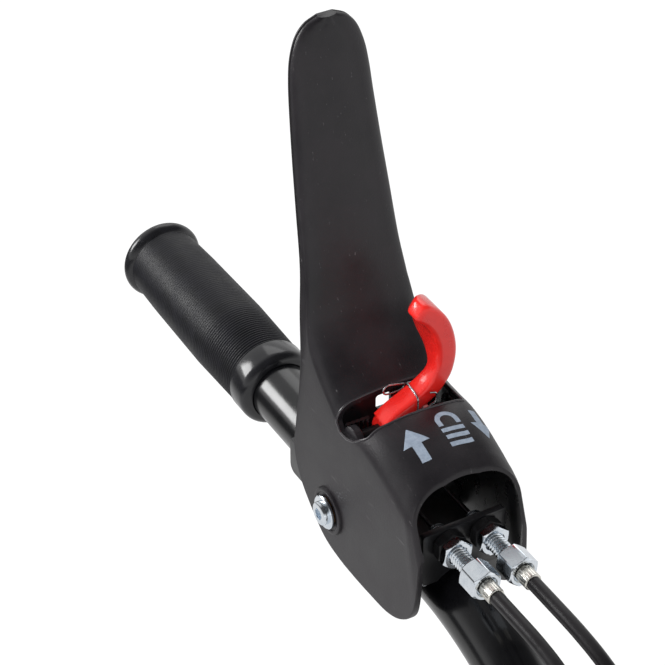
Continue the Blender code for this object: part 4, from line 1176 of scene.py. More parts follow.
    def build_fittings(self) -> None:
        """Makes the weld nut, lock nut, adjuster and ferrule."""
        centre = (self.side.value * CABLE_X, 0.0, CABLE_Z)
        weld, lock, back, front = self.stations()
        weld_turn = self.turn + self.weld_turn
        for stem, low, thick, turn, finish in (("weld_nut", weld, self.weld_t, weld_turn, BLACK_STEEL),
                                               ("lock_nut", lock, self.lock_t, self.turn, ZINC)):
            high, bore = low + thick, self.thread_r + self.nut_gap
            profile = hexagon_profile(low, high, self.nut_flats, turn)
            profile += [(high, bore + 0.5), (high - 0.5, bore), (low + 0.5, bore), (low, bore + 0.5)]
            self.build_hexagon(f"{stem}_body", profile, centre, finish, stem)
        seat = front + self.ferrule_seat
        mouth, throat = self.ferrule_r + self.seat_gap, WIRE_R + GAP
        profile = hexagon_profile(front, back, self.nut_flats, self.turn)
        profile += [(back, throat), (seat, throat), (seat, mouth), (front + 0.5, mouth), (front, mouth + 0.5)]
        self.build_hexagon("adjuster_hexagon", profile, centre, ZINC, "cable_adjuster")
        thread = self.thread(centre, back - 0.5)
        present(make_object(self.side.label("adjuster_thread"), thread, sharp=60.0), ZINC, Body.HANDLEBAR,
                self.side.label("cable_adjuster"))
        start = self.start_y() + GAP
        barrel = turned(self.barrel_profile(start, seat - GAP), centre, Y_AXIS, 72)
        ferrule = make_object(self.side.label("crimped_ferrule"), barrel)
        combine(ferrule, bar(centre, start - 3, seat + 3, throat, Y_AXIS))
        present(ferrule, CRIMPED_ZINC, Body.HANDLEBAR, self.side.label("cable_ferrule"))

    def build_hexagon(self, stem: str, profile: list[tuple[float, Radius]], centre: Sequence[float],
                      finish: Finish, node: str) -> None:
        """Makes one bored hexagon on the cable's axis.

        Args:
            stem: Its name without the side.
            profile: Its profile, outside and bore.
            centre: A point of the axis.
            finish: Its finish.
            node: The name without the side of the CAD node that it replaces.
        """
        mesh = turned(profile, centre, Y_AXIS, 96, closed=True)
        present(make_object(self.side.label(stem), mesh, sharp=20.0), finish, Body.HANDLEBAR,
                self.side.label(node))

    def thread(self, centre: Sequence[float], low: float) -> bmesh.types.BMesh:
        """Makes the adjuster's external screw thread as one helical surface.

        Args:
            centre: The thread's axis.
            low: Where it starts, inside the hexagon.

        Returns:
            The mesh.
        """
        high = PLATE_Y + SHEET + self.behind
        root = self.thread_r - self.thread_depth

        def ridge(along: float) -> Callable[[float], float]:
            """Returns the thread's outline at a place along it."""
            limit = min(self.thread_r, self.thread_r - self.thread_chamfer + (high - along))

            def radius(angle: float) -> float:
                """Returns the thread's radius at an angle."""
                phase = (along / self.thread_pitch - angle / (2 * math.pi)) % 1.0
                tooth = min(max(1.16 - abs(phase - 0.5) * 2.5, 0.0), 1.0)
                return min(root + self.thread_depth * tooth, limit)

            return radius

        steps = round((high - low) / self.thread_pitch * 14)
        return turned([(a, ridge(a)) for a in np.linspace(low, high, steps)], centre, Y_AXIS, 48)


@dataclass
class CableTie:
    """The strap that holds both coils to the lower tube."""

    handlebar: Handlebar
    half_width: float = 28.3
    half_height: float = 14.6
    width: float = 5.0
    thick: float = 1.3
    border: float = 0.9  # smooth border beside the teeth
    tooth: float = 0.16
    corner: float = 6.0
    head_half: float = 3.6
    head_top: float = 4.8

    def band(self, grow: float, tooth: float = 0.0) -> list[tuple[float, float]]:
        """Returns the strap's outline.

        Args:
            grow: How far outside the coils it lies.
            tooth: The height of the ratchet teeth across it.

        Returns:
            The points, across and out from the lower tube.
        """
        wide, tall = self.half_width + grow, self.half_height + grow
        outline = rounded(rectangle(-wide, -tall, wide, tall), (self.corner + grow,) * 4, 10)
        even = evenly(np.array(outline + outline[:1]), 289)[:-1]
        return [tuple(p * (1 + (tooth / np.linalg.norm(p) if k % 2 else 0))) for k, p in enumerate(even)]

    def build(self) -> bpy.types.Object:
        """Returns the strap with its teeth and its locking head."""
        half, thick = self.width / 2, self.thick
        flat = half - self.border
        steps = ((half, 0.0, 0.0), (half, thick, 0.0), (flat, thick, 0.0), (flat, thick, self.tooth),
                 (-flat, thick, self.tooth), (-flat, thick, 0.0), (-half, thick, 0.0), (-half, 0.0, 0.0))
        rings = [[self.handlebar.lower_point(COIL_ALONG + a, x, out) for x, out in self.band(grow, tooth)]
                 for a, grow, tooth in steps]
        strap = make_object("nylon_tie", loft(rings, closed=True))
        foot, top = self.half_height + GAP, self.half_height + self.head_top
        outline = rounded(rectangle(-self.head_half, foot, self.head_half, top), (0.4, 0.4, 1.0, 1.0), 4)
        ends = ((-half - 1.0, 0.86), (-half - 0.6, 1.0), (half + 0.6, 1.0), (half + 1.0, 0.86))
        head = [[self.handlebar.lower_point(COIL_ALONG + a, x * s, foot + (out - foot) * s)
                 for x, out in outline] for a, s in ends]
        combine(strap, loft(head), Cut.JOIN)
        return present(strap, TIE_NYLON, Body.HANDLEBAR, "cable_tie")


# Lever


@dataclass
class ControlLever:
    """The moulded squeeze lever: housing, cheeks and blade in one channel, with its bosses and signs."""

    hollow_end: float = 22.0  # the station where the underside turns flat
    mouth_roll: float = 1.2
    mouth_step: float = 4.6  # length of the first station
    mouth_wall: float = 0.6  # share of the wall that is left at the mouth's edge
    mouth_lip: float = 0.5  # how far the cheeks thicken inwards there
    boss_r: float = 11.0
    boss_step: float = 0.6  # how far the boss lies inside its ring
    bush_r: float = 6.8
    axle_hole_r: float = 3.1
    axle_boss_r: float = 6.0
    axle_boss: float = 2.6
    slot_wall: float = 5.0  # what stays of the roof at the slot's right end
    slot_corner: float = 2.2
    lip_r: float = 0.55
    # The slot's outline in the (y, z) plane, from the axle.
    slot: tuple = ((-12.0, 28.0), (-12.0, 9.0), (-4.5, 3.0), (1.0, 0.6), (6.5, 0.6), (9.8, 4.0), (9.8, 28.0))
    slot_corners: tuple = (0.0, 2.0, 2.0, 2.0, 2.0, 2.0, 0.0)
    cradle_r: float = 6.6
    cradle_ends: tuple[float, float] = (-24.2, -12.2)
    cradle_step: float = 0.75  # a third of the spacing of its rings
    cradle_arc: tuple[float, float] = (-200.0, 28.0)
    # Front and back of the wall behind the slot, its outline in the (x, z) plane and its window.
    back_wall: tuple[float, float] = (-5.6, -4.1)
    back_outline: tuple[float, float, float, float] = (-23.4, 50.0, 22.5, 69.0)
    back_window: tuple[float, float, float, float] = (-7.6, 59.6, -0.4, 66.6)
    dark_step: float = 1.4  # how far inside the cheeks' outer faces the painted shade starts
    dark_roof: tuple[float, float] = (5.0, 30.0)  # the roof has it in front of this Y and over this Z
    dark_facing: tuple[float, float] = (0.5, 0.3)  # how far such a cheek has to face inwards, and a roof down
    # Radius of the shoulder between the top and the cheeks at the first stations, from the mouth back.
    shoulders: tuple = (18.0, 18.0, 17.5, 16.0, 13.5, 11.0, 9.5, 9.0, 8.0)
    shoulder_limits: tuple[float, float] = (0.8, 0.5)  # the most a shoulder takes of half width and height
    least_shoulder: float = 0.6
    crown_limits: tuple[float, float] = (0.05, 0.1)  # the most the crown takes of them
    lip_end: tuple[float, float] = (4.0, 6.0)  # stations between which the mouth's lip fades out
    bevel_start: tuple[float, float] = (14.0, 17.0)  # stations between which the blade's bevel grows
    # Each station pairs a point of the outer top line with one of the rim, as (y, z, half width).
    stations: tuple = (
        ((-61.4, 62.4, 26.2), (-73.0, 33.0, 26.2)), ((-59.2, 63.9, 27.0), (-72.3, 13.0, 27.0)),
        ((-55.0, 66.0, 27.0), (-68.5, 0.5, 27.0)), ((-47.0, 68.8, 27.0), (-60.0, -8.0, 27.0)),
        ((-38.0, 70.6, 27.0), (-49.0, -12.6, 27.0)), ((-28.0, 71.0, 27.0), (-35.0, -13.8, 27.0)),
        ((-17.0, 70.0, 27.0), (-20.0, -14.2, 27.0)), ((-6.5, 70.4, 27.0), (-8.0, -13.6, 27.0)),
        ((-1.0, 74.0, 27.0), (4.0, -11.0, 27.0)), ((4.4, 78.8, 27.1), (15.0, -3.5, 27.0)),
        ((8.6, 83.2, 27.1), (25.5, 7.0, 27.0)), ((12.2, 87.2, 27.0), (30.4, 21.0, 27.3)),
        ((15.4, 91.4, 26.8), (28.4, 37.0, 27.5)), ((18.1, 96.0, 26.3), (25.4, 56.0, 27.5)),
        ((20.1, 101.5, 25.6), (24.2, 75.0, 27.3)), ((21.8, 110.0, 24.4), (26.6, 95.0, 26.2)),
        ((24.6, 124.0, 22.5), (31.4, 115.0, 23.4)), ((29.2, 145.0, 21.2), (38.2, 139.0, 21.4)),
        ((33.6, 165.0, 19.8), (43.5, 160.0, 20.0)), ((38.3, 185.0, 18.6), (48.0, 181.0, 18.7)),
        ((41.1, 197.0, 17.9), (50.1, 194.0, 17.9)), ((43.2, 206.0, 16.6), (51.4, 204.0, 16.6)),
        ((44.9, 213.5, 13.8), (52.2, 212.5, 13.8)), ((46.0, 218.3, 9.6), (52.2, 217.8, 9.6)),
        ((46.8, 220.8, 4.2), (51.6, 220.8, 4.2)))

    def half_section(self, top: np.ndarray, rim: np.ndarray, inset: float, place: float,
                     inside: bool) -> list[tuple[float, Vector]]:
        """Lists half of a U section, from its rim up to its crown.

        Args:
            top: The outer top line's point and half width there.
            rim: The rim's point and half width there.
            inset: How far inside the outer skin it lies.
            place: The station's number.
            inside: Whether it is the channel's inner skin.

        Returns:
            Pairs of a half width and a point of the (y, z) plane.
        """
        top_point, rim_point = Vector(top[:2]), Vector(rim[:2])
        down, depth = (rim_point - top_point).normalized(), (rim_point - top_point).length
        half_top, half_rim = top[2] - inset, rim[2] - inset
        shoulder = float(np.interp(place, range(len(self.shoulders)), self.shoulders))
        most_across, most_tall = self.shoulder_limits
        across = max(min(shoulder, most_across * top[2]) - inset, self.least_shoulder)
        tall = max(min(shoulder, most_tall * depth) - inset, self.least_shoulder)
        crown = min(self.crown_limits[0] * half_top, self.crown_limits[1] * depth)
        start, length = top_point + down * inset, depth - inset
        steps = self.rim_steps(inset, place, length - tall - crown, inside)
        side = [(half_rim - inward, start + down * (length - up)) for inward, up in steps]
        low = length - steps[-1][1]
        for share in (0.85, 0.7, 0.55, 0.4, 0.25, 0.12):
            reach = tall + crown + share * (low - tall - crown)
            side.append((half_top + (half_rim - half_top) * share, start + down * reach))
        for angle in np.radians(np.linspace(0, 90, 13)):
            reach = tall * (1 - math.sin(angle)) + crown
            side.append((half_top - across * (1 - math.cos(angle)), start + down * reach))
        side += [((half_top - across) * s, start + down * crown * s * s) for s in (0.75, 0.5, 0.25, 0.0)]
        return side

    def rim_steps(self, inset: float, place: float, height: float, inside: bool) -> list[tuple[float, float]]:
        """Lists the rim's steps: its rounded edge and the blade's bevel outside, and the mouth's lip inside.

        Args:
            inset: How far inside the outer skin the section lies.
            place: The station's number.
            height: The flat height of the cheek.
            inside: Whether it is the channel's inner skin.

        Returns:
            Pairs of how far a step lies inwards and how far above the rim.
        """
        if inside:
            thick = float(np.interp(place, self.lip_end, (self.mouth_lip, 0.0)))
            room = min(1.0, height / 5.0)
            return [(thick, 0.0), (thick, 1.0 * room), (0.85 * thick, 2.2 * room), (0.4 * thick, 3.6 * room),
                    (0.0, 4.6 * room)]
        room = min(1.0, height / 2.8)
        edge = min(0.9, 0.45 * (LEVER_WALL - inset)) * room
        proud = float(np.interp(place, self.bevel_start, (0.0, 1.0)))
        return [(edge, 0.0), (0.3 * edge, 0.3 * edge), (-0.15 * proud, edge), (-0.1 * proud, 1.3 * room),
                (0.6 * proud, 1.6 * room), (0.6 * proud, 2.0 * room), (0.0, 2.5 * room)]

    def section(self, top: np.ndarray, rim: np.ndarray, place: float, inset: float) -> list[tuple]:
        """Lists one closed section: the outer U and the inner U back.

        Args:
            top: The outer top line's point and half width there.
            rim: The rim's point and half width there.
            place: The station's number. The underside is open before hollow_end and flat after it.
            inset: How far the outer skin is drawn in.

        Returns:
            The section's points.
        """
        hollow = float(np.clip(self.hollow_end - place, 0, 1))
        wall = LEVER_WALL * float(np.interp(place, (0, 2), (self.mouth_wall, 1.0)))
        outer = self.both_halves(self.half_section(top, rim, inset, place, False))
        inner = np.array(self.both_halves(self.half_section(top, rim, wall + 0.5 * inset, place, True))[::-1])
        reach, last = inner[0][0], len(inner) - 1
        flat = np.array([(reach * (1 - 2 * k / last), rim[0], rim[1]) for k in range(len(inner))])
        return outer + [tuple(point) for point in flat + hollow * (inner - flat)]

    @staticmethod
    def both_halves(side: list[tuple[float, Vector]]) -> list[tuple[float, float, float]]:
        """Returns a half section and its mirror image, from the left rim over the top to the right."""
        return [(-x, *point) for x, point in side] + [(x, *point) for x, point in reversed(side[:-1])]

    def build(self) -> None:
        """Makes the moulding, its rings and its signs."""
        places = [0.0, 0.03, 0.07, 0.13, 0.22, 0.34, 0.5, 0.7]
        places += list(np.linspace(0.9, len(self.stations) - 1, 170))
        rings = []
        for place in places:
            top, rim = (curve_at([station[k] for station in self.stations], place) for k in (0, 1))
            roll = max(self.mouth_roll - place * self.mouth_step, 0.0)
            inset = self.mouth_roll - math.sqrt(self.mouth_roll**2 - roll**2)
            rings.append(self.section(top, rim, place, inset))
        lever = make_object("lever_moulding", loft(rings))
        skin = BVHTree.FromObject(lever, bpy.context.evaluated_depsgraph_get())
        lever.data.materials.append(LEVER_NYLON.material())
        lip = self.cut_slot(lever)
        inner, boss, axle = LEVER_HALF - LEVER_WALL, (0, 0, PIVOT_Z), (0, *SELECTOR_AXLE)
        for side in Side:
            reach = side.stretch(inner + 1, LEVER_HALF + BOSS_PROUD - 0.5)
            combine(lever, bar(boss, *reach, self.boss_r - self.boss_step), Cut.JOIN)
            reach = side.stretch(inner - self.axle_boss, inner + 1)
            combine(lever, bar(axle, *reach, self.axle_boss_r, edge=0.3), Cut.JOIN)
            combine(lever, bar(boss, *side.stretch(inner - 3, LEVER_HALF + 5), self.bush_r))
            combine(lever, bar(axle, *side.stretch(inner - 8, inner - 0.2), self.axle_hole_r))
        present(lever, LEVER_NYLON, Body.LEVER, "control_lever")
        self.darken_inside(lever)
        # The bead round the slot: a worn edge, lighter in colour as painted highlight.
        bead = make_object("slot_lip", swept(lip, circle(self.lip_r, 10), closed=True))
        present(bead, WORN_EDGE_HIGHLIGHT_NYLON, Body.LEVER)
        for side in Side:
            self.build_boss_ring(side)
        self.build_slot_insides()
        self.build_signs(skin)

    def darken_inside(self, lever: bpy.types.Object) -> None:
        """Paints shade on the faces inside the housing, with the near-black nylon.

        Args:
            lever: The moulding.
        """
        lever.data.materials.append(SHADED_NYLON.material())
        reach, top = LEVER_HALF - self.dark_step, self.stations[6][0][1] - 1.2
        (roof_y, roof_z), (least_inward, least_down) = self.dark_roof, self.dark_facing
        for polygon in lever.data.polygons:
            place = polygon.center / MM - ORIGIN
            inward = polygon.normal.x * (1 if place.x < 0 else -1)
            under = -polygon.normal.z > least_down and place.z > roof_z and place.y < roof_y
            if (inward > least_inward or under) and abs(place.x) < reach and place.z < top:
                polygon.material_index = 1

    def cut_slot(self, lever: bpy.types.Object) -> np.ndarray:
        """Cuts the selector's slot.

        Args:
            lever: The moulding.

        Returns:
            The slot's outer edge, as an even closed line in millimetres.
        """
        mark = bpy.data.materials.new("slot_wall")
        outline = [(SELECTOR_AXLE[0] + y, SELECTOR_AXLE[1] + z) for y, z in self.slot]
        outline = rounded(outline, self.slot_corners, 5)
        cutter = prism(outline, -LEVER_HALF - 10, LEVER_HALF - self.slot_wall)
        ends = [e for e in cutter.edges if all(v.co.x > 0 for v in e.verts)]
        bmesh.ops.bevel(cutter, geom=ends, offset=self.slot_corner, segments=5, profile=0.5, affect="EDGES")
        combine(lever, cutter, Cut.AWAY, mark)
        bm = bmesh.new()
        bm.from_mesh(lever.data)
        index = lever.data.materials.find(mark.name)
        seam = [e for e in bm.edges if len({f.material_index == index for f in e.link_faces}) == 2]
        loops = self.chain(seam)
        bm.free()
        outer = max(loops, key=lambda loop: float(np.mean([p[2] for p in loop])) + len(loop) * 1e-6)
        for polygon in lever.data.polygons:
            polygon.material_index = 0
        bpy.data.materials.remove(mark)
        closed = np.array(outer + outer[:1]) / MM - np.array(ORIGIN)
        return evenly(closed, 181)[:-1]

    @staticmethod
    def chain(edges: list[bmesh.types.BMEdge]) -> list[list[tuple]]:
        """Orders edges into closed loops.

        Args:
            edges: The edges.

        Returns:
            Each loop's points in order.
        """
        beside: dict = {}
        for edge in edges:
            for vert in edge.verts:
                beside.setdefault(vert, []).append(edge.other_vert(vert))
        loops, used = [], set()
        for start in beside:
            if start in used:
                continue
            loop, here = [], start
            while here is not None and here not in used:
                used.add(here)
                loop.append(tuple(here.co))
                here = next((v for v in beside[here] if v not in used), None)
            loops.append(loop)
        return loops

    def build_slot_insides(self) -> None:
        """Makes the ringed cradle round the selector's left end, and the wall behind the slot, both
        near-black as painted shade.
        """
        first, last = self.cradle_arc
        rings = []
        for k, x in enumerate(np.arange(*self.cradle_ends, self.cradle_step)):
            inner, outer = (0.0, 1.5) if k % 3 else (0.35, 1.2)
            section = arc(SELECTOR_AXLE, self.cradle_r + inner, first, last, 30)
            section += arc(SELECTOR_AXLE, self.cradle_r + outer, last, first, 30)
            rings.append([(x, *point) for point in section])
        present(make_object("selector_cradle", loft(rings)), SHADED_NYLON, Body.LEVER)
        front, back = self.back_wall
        outline = rounded(rectangle(*self.back_outline), (0, 0, 9.0, 9.0), 8)
        wall = make_object("slot_back_wall", prism(outline, front, back, "Y"))
        window = rounded(rectangle(*self.back_window), (1.5,) * 4)
        combine(wall, prism(window, front - 4.4, back + 4.1, "Y"))
        present(wall, SHADED_NYLON, Body.LEVER)

    def build_boss_ring(self, side: Side) -> None:
        """Makes the raised ring round a pivot boss, with its shallow groove.

        Args:
            side: The cheek that it is on.
        """
        root, face, r = LEVER_HALF - 1.0, LEVER_HALF + BOSS_PROUD, self.boss_r
        profile = [(root, r), (face - 0.7, r), (face - 0.2, r - 0.2), (face, r - 0.7), (face, r - 1.7),
                   (face - 0.2, r - 2.0), (face - 0.6, r - 2.1), (face - 0.6, self.bush_r),
                   (root, self.bush_r)]
        ring = turned(side.outward(profile), (0, 0, PIVOT_Z), X_AXIS, 96, closed=True)
        present(make_object(side.label("boss_ring"), ring), LEVER_NYLON, Body.LEVER)

    def build_signs(self, skin: BVHTree) -> None:
        """Prints the three plain signs on the housing: an arrow each way and a closed lock.

        Args:
            skin: The moulding's skin, which the ink lies on.
        """
        wide = self.arrow(tail=8.6, shaft=4.4, head=8.6, width=12.4)
        narrow = self.arrow(tail=7.2, shaft=3.2, head=7.6, width=9.0)
        bow, bow_r, bar_length = 2.2, 4.2, 10.6
        arch = [(-bow_r, -2.2), *arc((0.0, 0.2), bow_r, 180, 0, 20), (bow_r, -2.2)]
        bars = ((-5.4, -4.6), (-5.2, -8.2), (-5.4, -11.9))
        lock = [(arch, bow, bow), *(([(u, v), (u + bar_length, v)], 2.0, 2.0) for u, v in bars)]
        signs = (("sign_up", (-10.6, -43.9), 1, wide), ("sign_lock", (7.6, -38.2), 1, lock),
                 ("sign_down", (21.1, -42.0), -1, narrow))
        for name, (x, y), way, strokes in signs:
            joined = bmesh.new()
            for path, first, last in strokes:
                line = evenly(np.array([(x + u, y + way * v) for u, v in path]), 48)
                part = self.stroke(line, np.linspace(first, last, 48), skin)
                mesh = bpy.data.meshes.new("stroke")
                part.to_mesh(mesh)
                part.free()
                joined.from_mesh(mesh)
                bpy.data.meshes.remove(mesh)
            present(make_object(name, joined), PRINT_INK, Body.LEVER)

    @staticmethod
    def arrow(tail: float, shaft: float, head: float, width: float) -> list[tuple]:
        """Describes an arrow as two strokes.

        Args:
            tail: The shaft's length.
            shaft: Its width.
            head: The head's length.
            width: Its width at its foot.

        Returns:
            Each stroke's path and its first and last width.
        """
        return [([(0.0, -tail), (0.0, 0.2)], shaft, shaft), ([(0.0, 0.0), (0.0, head)], width, 0.3)]

    @staticmethod
    def stroke(line: np.ndarray, widths: np.ndarray, skin: BVHTree) -> bmesh.types.BMesh:
        """Lays one stroke of ink on the skin.

        Args:
            line: The stroke's middle in the (x, y) plane.
            widths: Its width at each point of the line.
            skin: The surface under it.

        Returns:
            The stroke as a thin closed mesh.
        """
        shares, proud, sunk = np.linspace(-0.5, 0.5, 9), 0.06, -0.3
        edge = [(share, proud) for share in shares] + [(share, sunk) for share in shares[::-1]]
        rings = []
        for i, point in enumerate(line):
            way = line[min(i + 1, len(line) - 1)] - line[max(i - 1, 0)]
            way /= np.linalg.norm(way)
            ring = []
            for share, rise in edge:
                x, y = point + np.array((-way[1], way[0])) * widths[i] * share
                above = (Vector((x, y, 150.0)) + ORIGIN) * MM
                hit = skin.ray_cast(above, Vector((0, 0, -1)))[0]
                ring.append((x, y, (hit.z / MM if hit else 0.0) - ORIGIN.z + rise))
            rings.append(ring)
        return loft(rings)


# Pivot


@dataclass
class Pivot:
    """One shouldered screw that the lever turns on, with its bush and nut."""

    side: Side
    thread_r: float = 4.0
    shoulder_r: float = 5.0
    shoulder_gap: float = 0.2
    flange_r: float = 7.8
    flange_t: float = 1.6
    head_r: float = 5.4
    head_t: float = 3.2
    head_dome: float = 0.5
    socket_flats: float = 5.0
    socket_depth: float = 2.0
    bush_wall: float = 1.4
    edge: float = 0.3
    nut_flats: float = 12.4
    nut_t: float = 5.0
    nut_gap: float = 0.15

    def build(self) -> None:
        """Makes the bush, the screw and the nut."""
        face, inner = LEVER_HALF + BOSS_PROUD, LEVER_HALF - LEVER_WALL
        self.build_piece("bronze_bush", self.bush_profile(inner, face), BRONZE, Body.LEVER, "pivot_bush", 64)
        self.build_screw(face + GAP)
        start, bore = EAR_IN - GAP - self.nut_t, self.thread_r + self.nut_gap
        nut = hexagon_profile(start, start + self.nut_t, self.nut_flats, 0)
        nut += [(start + self.nut_t, bore), (start, bore)]
        self.build_piece("pivot_nut_body", nut, BLACK_STEEL, Body.HANDLEBAR, "pivot_nut", 96, sharp=20.0)

    def build_piece(self, stem: str, profile: list[tuple[float, Radius]], finish: Finish, body: Body,
                    node: str, sides: int, sharp: float = SHARP) -> None:
        """Makes one bored piece round the pivot's axis.

        Args:
            stem: Its name without the side.
            profile: Its closed profile, whose places are distances off the middle.
            finish: Its finish.
            body: The body that it rides on.
            node: The name without the side of the CAD node that it replaces.
            sides: How many sides it has.
            sharp: Edges over this angle in degrees are shaded sharp.
        """
        mesh = turned(self.side.outward(profile), (0.0, 0.0, PIVOT_Z), X_AXIS, sides, closed=True)
        present(make_object(self.side.label(stem), mesh, sharp), finish, body, self.side.label(node))

    def bush_profile(self, inner: float, face: float) -> list[tuple[float, float]]:
        """Returns the bush's profile between the lever's inner wall and its boss face."""
        bore, edge = self.shoulder_r + self.shoulder_gap, self.edge
        outer = bore + self.bush_wall
        return [(inner + 0.1, bore + edge), (inner + 0.1, outer - edge), (inner + 0.4, outer),
                (face - edge, outer), (face, outer - edge), (face, bore + edge), (face - edge, bore),
                (inner + 0.4, bore)]

    def build_screw(self, low: float) -> None:
        """Makes the shouldered screw with its flange and its socket head.

        Args:
            low: Where its flange starts.
        """
        centre = (0.0, 0.0, PIVOT_Z)
        flange, top, tip = low + self.flange_t, low + self.head_t, EAR_IN - self.nut_t
        shoulder = EAR_IN + SHEET + GAP
        profile = [(tip - 0.8, self.thread_r - 0.6), (tip - 0.2, self.thread_r), (shoulder, self.thread_r),
                   (shoulder, self.shoulder_r), (low, self.shoulder_r), (low, self.flange_r - self.edge),
                   (low + self.edge, self.flange_r), (flange - 0.5, self.flange_r),
                   (flange - 0.1, self.flange_r - 0.35), (flange, self.head_r + 0.7), (flange, self.head_r),
                   (top - 0.1, self.head_r), (top + 0.3, self.head_r - 0.25),
                   (top + self.head_dome, self.head_r - 0.8), (top + self.head_dome, 4.0)]
        mesh = turned(self.side.outward(profile), centre, X_AXIS, 96)
        screw = make_object(self.side.label("shoulder_screw"), mesh)
        outline = hexagon(self.socket_flats, 0)
        socket = self.side.outward([(top - self.socket_depth, outline), (top + 8, outline)])
        combine(screw, turned(socket, centre, X_AXIS, 96))
        present(screw, ZINC, Body.HANDLEBAR, self.side.label("pivot_screw"))


# Selector


@dataclass
class Selector:
    """The red selector that slides on its axle, and the wire spring on its spigot."""

    hub_r: float = 6.2
    hub_half: float = 12.0
    spigot_x: float = 4.8  # where the hub steps down for the spring
    spigot_r: float = 4.6
    edge: float = 0.4
    axle_r: float = 3.0
    axle_gap: float = 0.1
    axle_reach: float = 23.9
    depth: float = 10.5  # the finger's depth at its root
    end_share: float = 1 / 16  # share of the finger's length over which its tip closes
    tip_share: float = 0.6  # share of the section that is left at the very tip
    dog_low: float = 43.5  # foot of the dog that picks a cable arm
    dog_t: float = 4.0
    dog_halves: tuple[float, float] = (3.4, 4.2)  # half its width at its foot and at the hub
    wire_r: float = 0.42
    spring_x: float = 5.6  # where its first turn starts
    spring_pitch: float = 1.55
    spring_turns: float = 2.5
    over_z: float = 77.6  # the spring's long leg passes over the finger a little below this
    # The finger's middle as (x, z, thickness, depth), from the hub to the free tip. Its front face is flat.
    finger: tuple = ((-11.0, 61.2, 4.4, 10.5), (-5.0, 64.1, 6.6, 10.5), (4.0, 68.2, 7.8, 10.5),
                     (11.6, 73.6, 8.8, 9.5), (16.2, 80.5, 9.4, 8.5), (17.8, 88.0, 9.6, 13.0),
                     (17.2, 95.6, 9.4, 20.5), (14.8, 103.0, 9.4, 20.0), (11.2, 108.6, 9.2, 16.5),
                     (7.4, 112.2, 8.8, 12.5), (3.8, 114.6, 7.8, 8.5))

    def build(self) -> None:
        """Makes the selector, its axle and its spring."""
        y, z = SELECTOR_AXLE
        hub, half, edge = (0.0, y, z), self.hub_half, self.edge
        profile = [(-half, self.hub_r - edge), (-half + edge, self.hub_r), (self.spigot_x - 0.3, self.hub_r),
                   (self.spigot_x, self.hub_r - 0.3), (self.spigot_x, self.spigot_r),
                   (half - edge, self.spigot_r), (half, self.spigot_r - edge)]
        selector = make_object("selector_moulding", turned(profile, hub, X_AXIS, 64))
        combine(selector, loft(self.finger_rings()), Cut.JOIN)
        foot, root = self.dog_halves
        dog = rounded([(y - foot, self.dog_low), (y + foot, self.dog_low), (y + root, z), (y - root, z)],
                      (1.5, 1.5, 0, 0))
        combine(selector, prism(dog, -self.dog_t / 2, self.dog_t / 2), Cut.JOIN)
        combine(selector, bar(hub, -half - 5, half + 5, self.axle_r + self.axle_gap))
        present(selector, SELECTOR_RED, Body.SELECTOR, "selector")
        pin = bar(hub, -self.axle_reach, self.axle_reach, self.axle_r, edge=edge)
        axle = make_object("selector_pin", pin)
        present(axle, BLACK_STEEL, Body.LEVER, "selector_axle")
        spring = make_curve("wire_spring", self.spring_line(), self.wire_r, smooth=4)
        present(spring, SPRING_WIRE, Body.SELECTOR, "selector_spring")

    def finger_rings(self) -> list[list[tuple]]:
        """Returns the finger's sections, flat faced with chamfered corners."""
        line = smooth_line(self.finger, 130)
        rings = []
        for i, (x, z, thick, deep) in enumerate(line):
            after, before = line[min(i + 1, len(line) - 1)], line[max(i - 1, 0)]
            tangent = Vector((after[0] - before[0], after[1] - before[1])).normalized()
            end = min(1.0, (1 - i / (len(line) - 1)) / self.end_share)
            squeeze = 1.0
            if end < 1:
                squeeze = self.tip_share + (1 - self.tip_share) * math.sin(math.acos(1 - end))
            u, v = thick / 2 * squeeze, deep / 2 * squeeze
            section = rounded(rectangle(-u, -v, u, v), (0.5 * min(u, v),) * 4, 4)
            middle = SELECTOR_AXLE[0] - self.depth / 2 + deep / 2
            rings.append([(x + tangent[1] * a, middle + b, z - tangent[0] * a) for a, b in section])
        return rings

    def spring_line(self) -> list[tuple[float, float, float]]:
        """Returns the spring's wire, from its front leg round the spigot and over the finger."""
        y, z = SELECTOR_AXLE
        radius = self.spigot_r + GAP + 0.5
        apart = self.depth / 2 + 0.6 + 0.5
        front, back, over = y - apart, y + apart, self.over_z
        near, behind = front - 0.2, back + 0.3
        coil = []
        for turn in np.linspace(0, self.spring_turns, 81):
            angle = math.pi + 2 * math.pi * turn
            coil.append((self.spring_x + self.spring_pitch * turn, y + radius * math.cos(angle),
                         z + radius * math.sin(angle)))
        start, end = coil[0][0], coil[-1][0]
        down = smooth_line([(8.6, front, z + 16.6), (11.4, near, z + 15.4), (11.3, near, z + 11.2),
                            (8.8, front, z + 9.8), (start + 0.6, front, z + 6.0), coil[0]], 40)
        up = smooth_line([coil[-1], (end, back, z + 5.0), (end + 0.5, behind, z + 10.5),
                          (9.4, behind, z + 13.2), (4.0, behind, z + 14.4), (-1.5, behind, z + 15.8),
                          (-4.6, behind, z + 16.2), (-6.3, behind, z + 14.2), (-5.0, behind, z + 12.0),
                          (-0.5, behind, z + 11.6), (3.0, behind, z + 12.2), (4.1, behind - 0.2, z + 14.0),
                          (3.9, back - 0.6, over - 5.2), (3.7, back - 2.2, over - 4.4), (3.4, y, over - 4.3),
                          (3.1, front + 2.0, over - 4.6), (2.9, front + 0.2, over - 5.6),
                          (2.8, near, z + 12.5), (2.7, near, z + 8.6)], 180)
        return [tuple(p) for p in down[:-1]] + coil + [tuple(p) for p in up[1:]]


# Cable arms


